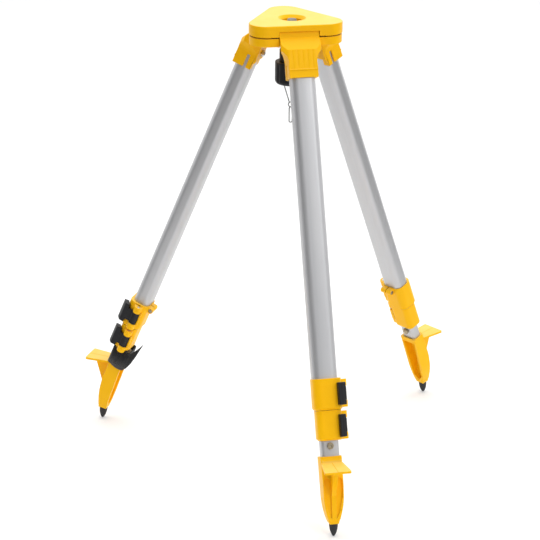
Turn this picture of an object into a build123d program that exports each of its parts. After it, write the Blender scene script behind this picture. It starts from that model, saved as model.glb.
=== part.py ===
"""Laser level tripod: head with fixing screw, three telescoping legs with lever locks, feet and a strap.

Millimetres, +Z up. The origin is the centre of the seat on top of the head, the front leg points to -Y.
A leg is drawn once in its own frame, with the hinge pin at the origin, X across the leg, -Y outward
and -Z down the leg, and is then placed three times. Depths are measured down the leg from the hinge pin.
"""

import os
from math import cos, radians, sin

from build123d import *

os.makedirs("parts", exist_ok=True)

# Stance
leg_spread = 22.7
hinge_radius = 47.0
hinge_drop = 24.8
leg_offset = 6.0
leg_turns = {"front": 0, "right": 120, "left": -120}

# Clearances: fixed pieces, running fits, sliding tubes, and bodies that pass each other
seat_gap = 0.05
running_gap = 0.05
slide_gap = 0.3
body_gap = 0.3

# Head cover
head_side = 56.0
head_corner = 28.0
cap_height = 19.0
cap_plate = 6.0
cap_wall = 4.0
cap_edge = 1.0
seat_hole_radius = 17.75
seat_chamfer = 5.0
notch_ceiling = 10.0
stop_pad_inner = 44.0
cap_boss_radius = 5.0
cap_boss_length = 9.5
cap_screw_radius = 2.45
cap_screw_head_radius = 4.4
cap_screw_head = 3.4
cap_screw_at = 50.0
cap_screw_short = 1.0

# Head casting under the cover
seam = 1.0
head_bottom = 34.0
body_inset = 0.8
fork_back = 34.0
hub_radius = 21.0
hub_bottom = 38.0
hub_floor = 22.1
pocket_radius = 8.0
pocket_at = 69.0
pocket_ceiling = 13.0

# Hinge pins
pin_radius = 4.0
pin_bearing = 12.5

# Fixing screw, knob and washer
thread_radius = 7.9375
thread_length = 20.0
thread_chamfer = 1.2
screw_below_seat = 2.0
shank_radius = 6.0
screw_lift = 12.0
knob_neck_radius = 19.5
knob_neck = 20.0
knob_radius = 26.5
knob_length = 37.0
knob_round = 6.0
flute_radius = 5.0
flute_depth = 0.9
flute_count = 14
washer_radius = 16.0
washer_thickness = 1.5

# Plumb hook under the knob
wire_radius = 0.9
wire_swell = 0.05
bail_half = 14.0
bail_above_end = 5.0
hook_recess_radius = 19.0
hook_recess = 9.5
knob_floor = 1.6
hook_boss_radius = 5.0
eye_radius = 4.1
eye_drop = 41.0
eye_lap = 0.3
loop_half = 2.6
loop_length = 26.0

# Leg bracket
bracket_half = 32.5
bracket_shoulder = 1.0
bracket_cheek_half = 26.2
bracket_cheek = 8.5
bracket_waist_half = 23.6
bracket_waist = 25.0
bracket_end = 64.0
bracket_outer = 18.0
bracket_inner = 17.5
bracket_back_end = 52.0
bracket_finger_in = 14.5
bracket_corner_in = 6.0
bracket_wing_in = 5.0
bracket_back_half = 21.8
bracket_bend = 19.5
slope_top_out = 4.0
slope_top_rise = 2.5
stop_outer = 6.0
stop_inner = 1.0
knuckle_radius = 9.5
bracket_back_depth = 15.0
bracket_slot = 5.0
bracket_slot_length = 23.0
bracket_slot_out = -3.5
bracket_flute_count = 5
bracket_flute_pitch = 8.2
bracket_flute_half = 0.8
bracket_ridge_depth = 50.2
bracket_ridge_height = 2.4
bracket_ridge_proud = 0.8
bracket_bolt_depth = 36.5

# Tubes: the upper one is given, the others follow from wall and gap
upper_width = 40.5
upper_thick = 29.0
upper_corner = 10.5
upper_wall = 1.6
middle_wall = 1.5
lower_wall = 1.5
tube_gap = 1.15
upper_top = 30.0
middle_top = 120.0
lower_top = 180.0
bush_flange = 4.0
bush_spigot = 12.0
bush_wall = 1.8

# Lock collars
collar_wall = 4.75
collar_thin = 1.6
upper_collar_top = 542.0
upper_collar_length = 50.0
lower_collar_length = 47.7
collar_foot_edge = 3.0
lug_thick = 11.0
lug_radius = 6.5
lug_reach = 7.0
lug_root = 2.0
lug_back = 2.4
lever_drop = 25.0
clamp_boss_radius = 5.0
clamp_boss_half = 12.0
clamp_boss_drop = 6.5
clamp_across = 4.0
clamp_slit = 1.6
clamp_slit_length = 13.0
clamp_screw_radius = 2.0
clamp_head_radius = 3.6
clamp_head = 4.0
clamp_nut_across = 7.0
clamp_nut = 3.2

# Flip levers and brake shoes
lever_pin_radius = 2.5
lever_pin_stand = 4.6
lever_pin_out = -2.0
hub_cam_radius = 6.0
cam_offset = 0.6
lever_clear = 1.0
lever_thick = 8.5
lever_side = 4.5
lever_sweep_start = -24.0
lever_sweep_end = 82.0
lever_neck = 22.0
lever_paddle = 35.5
lever_paddle_in = 5.3
lever_edge = 1.2
shoe_height = 15.0
shoe_wide = 10.0
shoe_free = 0.15

# Foot: lengths down the leg are counted from the foot's top, then from waist and cheek
foot_seat = 6.5
foot_half_top = 17.4
foot_corner = 4.0
foot_lean = 3.7
foot_deep = 12.0
foot_to_knee = 25.0
foot_to_waist = 64.0
waist_to_shin = 6.0
waist_to_cheek = 24.0
cheek_to_toe = 19.0
foot_shin_out = 7.8
foot_waist_half = 16.4
foot_cheek_half = 13.3
foot_toe_half = 7.4
foot_shelf = 2.0
channel_floor_out = 2.5
channel_half_top = 14.2
channel_half_end = 9.8
channel_above_toe = 9.0
foot_rib_half = 3.8
foot_to_pocket = 34.0
pocket_length = 66.0
pocket_deep = 4.2
pocket_rim = 2.2
pocket_shin = 3.0
pocket_cheek_rim = 3.8
tongue_above_bolt = 10.5
tread_inset = 0.5
tread_gap = 0.3
tread_angle = 18.0
tread_length = 43.0
tread_back_half = 16.9
tread_front_half = 21.8
tread_thick = 3.6
tread_corner = 2.5
gusset_reach = 32.0
bolt_below_collar = 3.0
bolt_radius = 3.0
foot_bolt_head_radius = 5.2
foot_bolt_head = 3.3
foot_bolt_end = 0.8
bolt_nut_across = 10.0
bolt_nut = 5.0

# Foot point
tip_out = -8.7
tip_inset = 0.7
tip_lean = 15.0
tip_radius = 7.3
tip_length = 21.6
tip_shoulder = 9.0
tip_shoulder_radius = 6.5
tip_nose_radius = 2.6
tip_stud_radius = 3.6
tip_stud = 6.5

# Strap
strap_thick = 2.0
strap_width = 33.0
strap_gap = 1.5
strap_on_foot = 9.5
strap_slack_front = 0.9
strap_slack_back = 1.2
strap_corner = 5.0
strap_tail_out = 18.0
strap_tail_rise = 30.5
strap_tail_end = 3.0


# Sizes that follow from the ones above
middle_width = upper_width - 2 * (upper_wall + tube_gap)
middle_thick = upper_thick - 2 * (upper_wall + tube_gap)
middle_corner = upper_corner - upper_wall - tube_gap
lower_width = middle_width - 2 * (middle_wall + tube_gap)
lower_thick = middle_thick - 2 * (middle_wall + tube_gap)
lower_corner = middle_corner - middle_wall - tube_gap
collar_seat = lever_drop - shoe_height / 2 - 2 * body_gap
upper_end = upper_collar_top + collar_seat
lower_collar_top = upper_collar_top + upper_collar_length + body_gap
middle_end = lower_collar_top + collar_seat
lower_collar_end = lower_collar_top + lower_collar_length
knob_top = hub_bottom + screw_lift + 2 * body_gap + washer_thickness
knob_end = knob_top + knob_neck + knob_length
shank_end = knob_end - hook_recess - knob_floor
pin_half = bracket_half + body_gap + pin_bearing
fork_half = bracket_half + body_gap
strap_top = lower_collar_end + strap_gap
strap_end = strap_top + strap_width
strap_half = foot_half_top + body_gap
strap_front = foot_deep + strap_slack_front
strap_back = lower_thick / 2 + bolt_nut + foot_bolt_end + strap_slack_back
foot_top = strap_end - strap_on_foot
lower_end = foot_top + foot_seat
foot_knee = foot_top + foot_to_knee
foot_waist = foot_top + foot_to_waist
foot_shin = foot_waist + waist_to_shin
foot_cheek = foot_waist + waist_to_cheek
foot_toe = foot_cheek + cheek_to_toe
channel_top = lower_end + seat_gap + foot_shelf
channel_end = foot_toe - channel_above_toe
pocket_top = foot_top + foot_to_pocket
pocket_end = pocket_top + pocket_length
tread_depth = strap_end + tread_gap
tread_out = foot_deep - tread_inset
tip_depth = foot_toe - tip_inset
foot_bolt_depth = lower_collar_end + body_gap + foot_bolt_head_radius + bolt_below_collar
tongue_top = foot_bolt_depth - tongue_above_bolt
collar_shift = (collar_wall - collar_thin) / 2


def section(depth):
    """Plane across the leg at a depth: x across, y outward from the tube axis, facing down the leg."""
    return Plane((0, -leg_offset, -depth), x_dir=(1, 0, 0), z_dir=(0, 0, -1))


# Leg seen from the side (x outward, y up the leg) and from outside (x across, y up the leg)
side_view = Plane((0, -leg_offset, 0), x_dir=(0, -1, 0), z_dir=(-1, 0, 0))
front_view = Plane((0, -leg_offset, 0), x_dir=(1, 0, 0), z_dir=(0, -1, 0))

# Rounded triangles of the head, with a flat side facing each leg
with BuildSketch() as head_outline:
    RegularPolygon(head_side, 3, major_radius=False, rotation=90)
    fillet(head_outline.vertices(), head_corner)

with BuildSketch() as cap_inside:
    RegularPolygon(head_side - cap_wall, 3, major_radius=False, rotation=90)
    fillet(cap_inside.vertices(), head_corner - cap_wall)

with BuildSketch() as body_outline:
    RegularPolygon(head_side - body_inset, 3, major_radius=False, rotation=90)
    fillet(body_outline.vertices(), head_corner - body_inset)

with BuildSketch() as spigot_outline:
    RegularPolygon(head_side - cap_wall - body_gap, 3, major_radius=False, rotation=90)
    fillet(spigot_outline.vertices(), head_corner - cap_wall - body_gap)

# Head cover: shell with seat, chamfered hole, notches over the legs, stop pads and hold-down ribs
with BuildPart() as head_cap:
    extrude(head_outline.sketch, amount=-cap_height)
    chamfer(head_cap.edges().group_by(Axis.Z)[-1], cap_edge)
    with BuildSketch(Plane.XY.offset(-cap_plate)):
        add(cap_inside.sketch)
    extrude(amount=-cap_height, mode=Mode.SUBTRACT)
    with PolarLocations(head_side, 3, start_angle=-90):
        with Locations((0, 0, -notch_ceiling)):
            Box(4 * cap_wall, 2 * fork_half, cap_height,
                align=(Align.CENTER, Align.CENTER, Align.MAX), mode=Mode.SUBTRACT)
    with PolarLocations(stop_pad_inner, 3, start_angle=-90):
        with Locations((0, 0, -notch_ceiling)):
            Box(head_side - cap_wall - stop_pad_inner, 2 * fork_half - 2 * body_gap, notch_ceiling - cap_plate,
                align=(Align.MIN, Align.CENTER, Align.MIN))
    with PolarLocations(hinge_radius, 3, start_angle=-90):
        with Locations((0, fork_half + pin_bearing / 2, 0), (0, -fork_half - pin_bearing / 2, 0)):
            with Locations((0, 0, -hinge_drop + pin_radius + body_gap)):
                Box(2 * pin_radius - 2 * body_gap, pin_bearing - 4 * body_gap,
                    hinge_drop - pin_radius - body_gap - cap_plate,
                    align=(Align.CENTER, Align.CENTER, Align.MIN))
    with PolarLocations(cap_screw_at, 3, start_angle=-30):
        with Locations((0, 0, -cap_plate)):
            Cylinder(cap_boss_radius, cap_boss_length, align=(Align.CENTER, Align.CENTER, Align.MAX))
        with Locations((0, 0, -cap_plate - cap_boss_length)):
            Cylinder(cap_screw_radius, cap_boss_length, mode=Mode.SUBTRACT,
                     align=(Align.CENTER, Align.CENTER, Align.MIN))
    Cylinder(seat_hole_radius, 3 * cap_plate, mode=Mode.SUBTRACT)
    with Locations((0, 0, -seat_chamfer)):
        Cone(seat_hole_radius, seat_hole_radius + seat_chamfer, seat_chamfer, mode=Mode.SUBTRACT,
             align=(Align.CENTER, Align.CENTER, Align.MIN))

# Head casting: band flush with the cover, spigot inside it, three forks, screw guide and lightening pockets
spigot_top = cap_plate + body_gap
band_top = cap_height + seam
with BuildPart() as head_body:
    with BuildSketch(Plane.XY.offset(-band_top)):
        add(body_outline.sketch)
    extrude(amount=band_top - head_bottom)
    chamfer(head_body.edges().group_by(Axis.Z)[0], body_inset)
    with BuildSketch(Plane.XY.offset(-spigot_top)):
        add(spigot_outline.sketch)
    extrude(amount=spigot_top - head_bottom)
    with PolarLocations(fork_back, 3, start_angle=-90):
        Box(head_side, 2 * fork_half, 3 * head_bottom,
            align=(Align.MIN, Align.CENTER, Align.CENTER), mode=Mode.SUBTRACT)
    with Locations((0, 0, -hub_bottom)):
        Cylinder(hub_radius, hub_bottom - hub_floor, align=(Align.CENTER, Align.CENTER, Align.MIN))
    with Locations((0, 0, -hub_floor)):
        Cylinder(seat_hole_radius, hub_floor, align=(Align.CENTER, Align.CENTER, Align.MIN),
                 mode=Mode.SUBTRACT)
    Cylinder(shank_radius + running_gap, 3 * hub_bottom, mode=Mode.SUBTRACT)
    with PolarLocations(hinge_radius, 3, start_angle=-90):
        with Locations((0, 0, -hinge_drop)):
            Cylinder(pin_radius + seat_gap, 2 * pin_half + 2 * seat_gap, rotation=(90, 0, 0), mode=Mode.SUBTRACT)
            Box(2 * pin_radius + 2 * seat_gap, 2 * pin_half + 2 * seat_gap, hinge_drop,
                align=(Align.CENTER, Align.CENTER, Align.MIN), mode=Mode.SUBTRACT)
        with Locations((0, 0, -band_top)):
            Box(head_side - hinge_radius, 2 * pin_half + 2 * seat_gap, band_top,
                align=(Align.MIN, Align.CENTER, Align.MIN), mode=Mode.SUBTRACT)
    with PolarLocations(cap_screw_at, 3, start_angle=-30):
        with Locations((0, 0, -cap_plate - cap_boss_length - body_gap)):
            Cylinder(cap_boss_radius + body_gap, cap_height, mode=Mode.SUBTRACT,
                     align=(Align.CENTER, Align.CENTER, Align.MIN))
        Cylinder(cap_screw_radius + seat_gap, 3 * head_bottom, mode=Mode.SUBTRACT)
        with Locations((0, 0, -head_bottom)):
            Cylinder(cap_screw_head_radius + body_gap, cap_screw_head + body_gap, mode=Mode.SUBTRACT,
                     align=(Align.CENTER, Align.CENTER, Align.MIN))
    with PolarLocations(pocket_at, 3, start_angle=-30):
        with Locations((0, 0, -pocket_ceiling)):
            Cylinder(pocket_radius, head_bottom, mode=Mode.SUBTRACT,
                     align=(Align.CENTER, Align.CENTER, Align.MAX))

# Three screws that hold the cover, heads sunk in the casting
with BuildPart() as cap_screws:
    with PolarLocations(cap_screw_at, 3, start_angle=-30):
        with Locations((0, 0, -head_bottom + cap_screw_head + seat_gap)):
            Cylinder(cap_screw_head_radius, cap_screw_head - 2 * seat_gap,
                     align=(Align.CENTER, Align.CENTER, Align.MAX))
            Cylinder(cap_screw_radius - seat_gap, head_bottom - cap_screw_head - cap_plate - cap_screw_short,
                     align=(Align.CENTER, Align.CENTER, Align.MIN))

# Three hinge pins, each across one fork
with BuildPart() as hinge_pins:
    with PolarLocations(hinge_radius, 3, start_angle=-90):
        with Locations((0, 0, -hinge_drop)):
            Cylinder(pin_radius, 2 * pin_half, rotation=(90, 0, 0))

# Fixing screw: thread at the top, plain shank through the hub into the knob
with BuildPart() as fixing_screw:
    with Locations((0, 0, -screw_below_seat)):
        Cylinder(thread_radius, thread_length, align=(Align.CENTER, Align.CENTER, Align.MAX))
    chamfer(fixing_screw.edges().group_by(Axis.Z)[-1], thread_chamfer)
    with Locations((0, 0, -shank_end)):
        Cylinder(shank_radius, shank_end - screw_below_seat - thread_length,
                 align=(Align.CENTER, Align.CENTER, Align.MIN))

# Washer between knob and hub, which rises with the screw but doesn't turn
with BuildPart() as thrust_washer:
    with Locations((0, 0, -knob_top + 2 * seat_gap)):
        Cylinder(washer_radius, washer_thickness, align=(Align.CENTER, Align.CENTER, Align.MIN))
        Cylinder(shank_radius + running_gap, washer_thickness, mode=Mode.SUBTRACT,
                 align=(Align.CENTER, Align.CENTER, Align.MIN))

# Knob: smooth neck, wider grip with shallow flutes, recess below with a cross-drilled boss for the hook
with BuildPart() as fixing_knob:
    with Locations((0, 0, -knob_top)):
        Cylinder(knob_neck_radius, knob_neck, align=(Align.CENTER, Align.CENTER, Align.MAX))
    with Locations((0, 0, -knob_end)):
        Cylinder(knob_radius, knob_length, align=(Align.CENTER, Align.CENTER, Align.MIN))
    fillet(fixing_knob.edges().group_by(Axis.Z)[0], knob_round)
    with PolarLocations(knob_radius + flute_radius - flute_depth, flute_count):
        with Locations((0, 0, -knob_end + knob_round)):
            Cylinder(flute_radius, knob_length - knob_round, mode=Mode.SUBTRACT,
                     align=(Align.CENTER, Align.CENTER, Align.MIN))
    with Locations((0, 0, -knob_end)):
        Cylinder(hook_recess_radius, hook_recess, mode=Mode.SUBTRACT,
                 align=(Align.CENTER, Align.CENTER, Align.MIN))
        Cylinder(hook_boss_radius, hook_recess, align=(Align.CENTER, Align.CENTER, Align.MIN))
    with Locations((0, 0, -shank_end)):
        Cylinder(shank_radius + seat_gap, shank_end - knob_top, mode=Mode.SUBTRACT,
                 align=(Align.CENTER, Align.CENTER, Align.MIN))
    with Locations((0, 0, -knob_end + bail_above_end)):
        Cylinder(wire_radius + running_gap, 4 * hook_boss_radius, rotation=(0, 90, 0), mode=Mode.SUBTRACT)

# Plumb hook: wire bail through the boss, flat eye, and a narrow loop below it, with the wire swollen at its bends
bail_top = -knob_end + bail_above_end
eye_centre = bail_top - eye_drop
loop_top = eye_centre - eye_radius - eye_lap
loop_end = loop_top - loop_length
bail_foot = (eye_radius * 0.6, eye_centre + eye_radius * 0.8)
bail_bends = [(bail_half, bail_top), (-bail_half, bail_top)]
bail_points = [bail_foot, *bail_bends, (-bail_foot[0], bail_foot[1])]
loop_points = [(loop_half, loop_top), (loop_half, loop_end), (-loop_half, loop_end), (-loop_half, loop_top)]
wire_runs = [*zip(bail_points, bail_points[1:]), *zip(loop_points, loop_points[1:] + loop_points[:1])]
with BuildPart() as plumb_hook:
    with BuildSketch(Plane.XZ):
        with Locations((0, eye_centre)):
            Circle(eye_radius + wire_radius)
            Circle(eye_radius - wire_radius, mode=Mode.SUBTRACT)
    extrude(amount=wire_radius + 2 * wire_swell, both=True)
    for run_start, run_end in wire_runs:
        with BuildLine(Plane.XZ) as wire_run:
            Line(run_start, run_end)
        with BuildSketch(Plane(wire_run.wire() @ 0, z_dir=wire_run.wire() % 0)):
            Circle(wire_radius)
        extrude(amount=wire_run.wire().length)
    for bend_across, bend_height in bail_bends + loop_points:
        with Locations(Location((bend_across, 0, bend_height), (90, 0, 0))):
            Cylinder(wire_radius + 2 * wire_swell, 2 * (wire_radius + wire_swell))

# Leg bracket: side profile cut to its front outline and plan, then ridge, flutes, socket, slots and holes
stop_rise = hinge_drop - notch_ceiling - body_gap
stop_tilt = radians(leg_spread)
stop_out_high = (-leg_offset + stop_outer * cos(stop_tilt) + stop_rise * sin(stop_tilt),
                 stop_rise * cos(stop_tilt) - stop_outer * sin(stop_tilt))
stop_in_high = (-leg_offset - stop_inner * cos(stop_tilt) + stop_rise * sin(stop_tilt),
                stop_rise * cos(stop_tilt) + stop_inner * sin(stop_tilt))
bracket_top = 2 * stop_rise
shoulder_point = (bracket_half, -bracket_bend - bracket_shoulder)
cheek_point = (bracket_cheek_half, -bracket_bend - bracket_cheek)
waist_point = (bracket_waist_half, -bracket_bend - bracket_waist)


def on_knuckle(angle):
    """Point on the round back of the hinge, in the side view."""
    return (-leg_offset + knuckle_radius * cos(radians(angle)), knuckle_radius * sin(radians(angle)))


with BuildPart() as leg_bracket:
    with BuildSketch(side_view):
        with BuildLine():
            Polyline(on_knuckle(190), (-bracket_inner, -bracket_back_depth), (-bracket_inner, -bracket_back_end),
                     (-bracket_finger_in, -bracket_back_end), (-bracket_finger_in, -bracket_end),
                     (bracket_outer, -bracket_end), (bracket_outer, -bracket_bend),
                     (slope_top_out, slope_top_rise), stop_out_high, stop_in_high, on_knuckle(120))
            ThreePointArc(on_knuckle(120), on_knuckle(155), on_knuckle(190))
        make_face()
    extrude(amount=bracket_half, both=True)
    with BuildSketch(front_view):
        with BuildLine():
            Polyline((0, bracket_top), (bracket_half, bracket_top), shoulder_point)
            ThreePointArc(shoulder_point, cheek_point, waist_point)
            Polyline(waist_point, (bracket_waist_half, -bracket_end), (0, -bracket_end))
            mirror(about=Plane.YZ)
        make_face()
    extrude(amount=4 * bracket_outer, both=True, mode=Mode.INTERSECT)
    with BuildSketch(section(-bracket_top)):
        with BuildLine():
            Polyline((bracket_waist_half, bracket_outer), (bracket_half, bracket_outer - bracket_corner_in),
                     (2 * bracket_half, bracket_outer - bracket_corner_in), (2 * bracket_half, bracket_outer), close=True)
        make_face()
        mirror(about=Plane.YZ)
    extrude(amount=bracket_top + bracket_end, mode=Mode.SUBTRACT)
    with BuildSketch(section(knuckle_radius + 2 * body_gap)):
        with BuildLine():
            Polyline((bracket_half, bracket_wing_in), (2 * bracket_half, bracket_wing_in),
                     (2 * bracket_half, -bracket_inner), (bracket_back_half, -bracket_inner), close=True)
        make_face()
        mirror(about=Plane.YZ)
    extrude(amount=bracket_end, mode=Mode.SUBTRACT)
    with BuildSketch(section(bracket_ridge_depth)):
        with Locations((0, bracket_outer)):
            Rectangle(2 * bracket_waist_half, 2 * bracket_ridge_proud)
    extrude(amount=bracket_ridge_height)
    with BuildSketch(section(bracket_bend)):
        with GridLocations(bracket_flute_pitch, 1, bracket_flute_count, 1):
            with Locations((0, bracket_outer)):
                RegularPolygon(bracket_flute_half, 4)
    extrude(amount=bracket_ridge_depth - bracket_bend, mode=Mode.SUBTRACT)
    with BuildSketch(section(upper_top - seat_gap)):
        RectangleRounded(upper_width + 2 * seat_gap, upper_thick + 2 * seat_gap, upper_corner + seat_gap)
    extrude(amount=bracket_end, mode=Mode.SUBTRACT)
    with BuildSketch(section(bracket_end - bracket_slot_length)):
        with Locations((0, bracket_slot_out)):
            Rectangle(4 * bracket_half, bracket_slot)
    extrude(amount=2 * bracket_slot_length, mode=Mode.SUBTRACT)
    with Locations(Location((0, 0, 0), (0, 90, 0))):
        Cylinder(pin_radius + running_gap, 4 * bracket_half, mode=Mode.SUBTRACT)
    with Locations(Location((0, -leg_offset + bracket_inner, -bracket_bolt_depth), (90, 0, 0))):
        Cylinder(bolt_radius + seat_gap, bracket_inner, mode=Mode.SUBTRACT)


def make_tube(width, thick, corner, wall, top, end):
    """Rounded rectangular tube between two depths."""
    with BuildPart() as tube:
        with BuildSketch(section(top)):
            RectangleRounded(width, thick, corner)
            RectangleRounded(width - 2 * wall, thick - 2 * wall, corner - wall, mode=Mode.SUBTRACT)
        extrude(amount=end - top)
    return tube.part


upper_plain = make_tube(upper_width, upper_thick, upper_corner, upper_wall, upper_top, upper_end)
lower_plain = make_tube(lower_width, lower_thick, lower_corner, lower_wall, lower_top, lower_end)

# Upper tube, drilled for the bracket bolt
with BuildPart() as upper_tube:
    add(upper_plain)
    with Locations(Location((0, -leg_offset + upper_thick / 2, -bracket_bolt_depth), (90, 0, 0))):
        Cylinder(bolt_radius + seat_gap, upper_thick / 2, mode=Mode.SUBTRACT)

# Middle tube
middle_tube = make_tube(middle_width, middle_thick, middle_corner, middle_wall, middle_top, middle_end)

# Lower tube, drilled through for the foot bolt
with BuildPart() as lower_tube:
    add(lower_plain)
    with Locations(Location((0, -leg_offset, -foot_bolt_depth), (90, 0, 0))):
        Cylinder(bolt_radius + seat_gap, 2 * lower_thick, mode=Mode.SUBTRACT)


def make_bush(width, thick, corner, wall, gap, top):
    """Guide bush on the top of an inner tube: flange outside, spigot plugged into the tube."""
    flange = wall + gap - running_gap
    with BuildPart() as bush:
        with BuildSketch(section(top - bush_flange)):
            RectangleRounded(width + 2 * (gap - running_gap), thick + 2 * (gap - running_gap),
                             corner + gap - running_gap)
        extrude(amount=bush_flange - seat_gap)
        with BuildSketch(section(top - bush_flange)):
            RectangleRounded(width - 2 * wall - 2 * seat_gap, thick - 2 * wall - 2 * seat_gap,
                             corner - wall - seat_gap)
        extrude(amount=bush_flange + bush_spigot)
        with BuildSketch(section(top - bush_flange)):
            RectangleRounded(width - 2 * wall - 2 * bush_wall, thick - 2 * wall - 2 * bush_wall,
                             corner - wall - bush_wall)
        extrude(amount=bush_flange + bush_spigot, mode=Mode.SUBTRACT)
    return bush.part


middle_bush = make_bush(middle_width, middle_thick, middle_corner, middle_wall, tube_gap, middle_top)
lower_bush = make_bush(lower_width, lower_thick, lower_corner, lower_wall, tube_gap, lower_top)


def make_collar(outer, inner, top, length):
    """Lock collar: seat for the outer tube, guide for the inner one, lugs with a back for the lever, shoe window."""
    width, thick, corner = outer
    half = width / 2 + collar_wall
    pin_at = half + lever_pin_stand
    middle = top + lever_drop
    with BuildPart() as collar:
        with BuildSketch(section(top)):
            with Locations((collar_shift, collar_shift)):
                RectangleRounded(width + collar_wall + collar_thin, thick + collar_wall + collar_thin,
                                 corner + collar_thin)
        extrude(amount=length)
        chamfer(collar.edges().group_by(Axis.Z)[0], collar_foot_edge)
        with BuildSketch(section(middle - lever_neck / 2 - body_gap - lug_thick),
                         section(middle + lever_neck / 2 + body_gap)):
            with Locations((pin_at, lever_pin_out)):
                Circle(lug_radius)
            with Locations((half - lug_root, lever_pin_out - lug_radius)):
                Rectangle(2 * lug_root, lug_reach - lever_pin_out + lug_radius, align=(Align.CENTER, Align.MIN))
            make_hull()
        extrude(amount=lug_thick)
        with BuildSketch(section(middle - lever_neck / 2 - body_gap)):
            with Locations((half - lug_root, lever_pin_out - hub_cam_radius - 2 * body_gap)):
                Rectangle(lug_root + lever_pin_stand, lug_back, align=(Align.MIN, Align.MAX))
        extrude(amount=lever_neck + 2 * body_gap)
        with BuildSketch(section(top)):
            RectangleRounded(width + 2 * seat_gap, thick + 2 * seat_gap, corner + seat_gap)
        extrude(amount=collar_seat + seat_gap, mode=Mode.SUBTRACT)
        with BuildSketch(section(top)):
            RectangleRounded(inner[0] + 2 * slide_gap, inner[1] + 2 * slide_gap, inner[2] + slide_gap)
        extrude(amount=length, mode=Mode.SUBTRACT)
        with BuildSketch(section(middle - lever_neck / 2 - body_gap)):
            with Locations((pin_at, lever_pin_out)):
                Rectangle(2 * (hub_cam_radius + cam_offset + body_gap), 2 * (hub_cam_radius + 2 * body_gap))
        extrude(amount=lever_neck + 2 * body_gap, mode=Mode.SUBTRACT)
        with BuildSketch(section(middle - shoe_height / 2 - body_gap)):
            with Locations((half, lever_pin_out)):
                Rectangle(half, shoe_wide + 2 * body_gap)
        extrude(amount=shoe_height + 2 * body_gap, mode=Mode.SUBTRACT)
        with BuildSketch(section(top)):
            with Locations((pin_at, lever_pin_out)):
                Circle(lever_pin_radius + seat_gap)
        extrude(amount=length, mode=Mode.SUBTRACT)
    return collar.part


upper_outer = (upper_width, upper_thick, upper_corner)
middle_outer = (middle_width, middle_thick, middle_corner)
lower_outer = (lower_width, lower_thick, lower_corner)
upper_collar_plain = make_collar(upper_outer, middle_outer, upper_collar_top, upper_collar_length)
lower_collar = make_collar(middle_outer, lower_outer, lower_collar_top, lower_collar_length)

# Upper collar: the plain collar with a slit clamp boss on its inner face
clamp_depth = upper_collar_top + clamp_boss_drop
collar_back = upper_thick / 2 + collar_thin
clamp_out = -collar_back - clamp_nut_across / 2 / cos(radians(30)) - body_gap
clamp_line = Plane((clamp_across, -leg_offset - clamp_out, -clamp_depth), x_dir=(0, 0, 1), z_dir=(1, 0, 0))
with BuildPart() as upper_collar:
    add(upper_collar_plain)
    with BuildSketch(clamp_line):
        Circle(clamp_boss_radius)
    extrude(amount=clamp_boss_half, both=True)
    with BuildSketch(section(clamp_depth - clamp_boss_radius)):
        with Locations((clamp_across, clamp_out)):
            Rectangle(2 * clamp_boss_half, -clamp_out - upper_thick / 2, align=(Align.CENTER, Align.MIN))
    extrude(amount=2 * clamp_boss_radius)
    with BuildSketch(section(upper_collar_top)):
        RectangleRounded(upper_width + 2 * seat_gap, upper_thick + 2 * seat_gap, upper_corner + seat_gap)
    extrude(amount=collar_seat, mode=Mode.SUBTRACT)
    with BuildSketch(section(upper_collar_top)):
        with Locations((clamp_across, -upper_thick / 2)):
            Rectangle(clamp_slit, 4 * collar_wall, align=(Align.CENTER, Align.MAX))
    extrude(amount=clamp_slit_length, mode=Mode.SUBTRACT)
    with BuildSketch(clamp_line):
        Circle(clamp_screw_radius + seat_gap)
    extrude(amount=clamp_boss_half, both=True, mode=Mode.SUBTRACT)
    with BuildSketch(clamp_line.offset(-clamp_boss_half)):
        Circle(clamp_head_radius + seat_gap)
    extrude(amount=clamp_head, mode=Mode.SUBTRACT)
    with BuildSketch(clamp_line.offset(clamp_boss_half)):
        RegularPolygon(clamp_nut_across / 2 + seat_gap, 6, major_radius=False)
    extrude(amount=-clamp_nut, mode=Mode.SUBTRACT)


def make_lever_pin(pin_at, top):
    """Plain pin through both lugs of a collar."""
    with BuildPart() as lever_pin:
        with BuildSketch(section(top + lever_drop - lever_neck / 2 - body_gap - lug_thick)):
            with Locations((pin_at, lever_pin_out)):
                Circle(lever_pin_radius)
        extrude(amount=lever_neck + 2 * body_gap + 2 * lug_thick)
    return lever_pin.part


upper_pin_at = upper_width / 2 + collar_wall + lever_pin_stand
lower_pin_at = middle_width / 2 + collar_wall + lever_pin_stand
lower_lever_pin = make_lever_pin(lower_pin_at, lower_collar_top)

# Fixings of the upper section: lever pin, clamp screw with nut, bracket bolt
bracket_bolt_face = Plane((0, -leg_offset + bracket_inner + seat_gap, -bracket_bolt_depth), z_dir=(0, 1, 0))
with BuildPart() as upper_fixings:
    add(make_lever_pin(upper_pin_at, upper_collar_top))
    with BuildSketch(clamp_line):
        Circle(clamp_screw_radius)
    extrude(amount=clamp_boss_half - seat_gap, both=True)
    with BuildSketch(clamp_line.offset(-clamp_boss_half)):
        Circle(clamp_head_radius)
    extrude(amount=clamp_head - seat_gap)
    with BuildSketch(clamp_line.offset(clamp_boss_half)):
        RegularPolygon(clamp_nut_across / 2, 6, major_radius=False)
    extrude(amount=-clamp_nut + seat_gap)
    with BuildSketch(bracket_bolt_face):
        Circle(bolt_radius)
    extrude(amount=-bracket_inner / 2)
    with BuildSketch(bracket_bolt_face):
        RegularPolygon(bolt_nut_across / 2, 6, major_radius=False)
    extrude(amount=bolt_nut)


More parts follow.
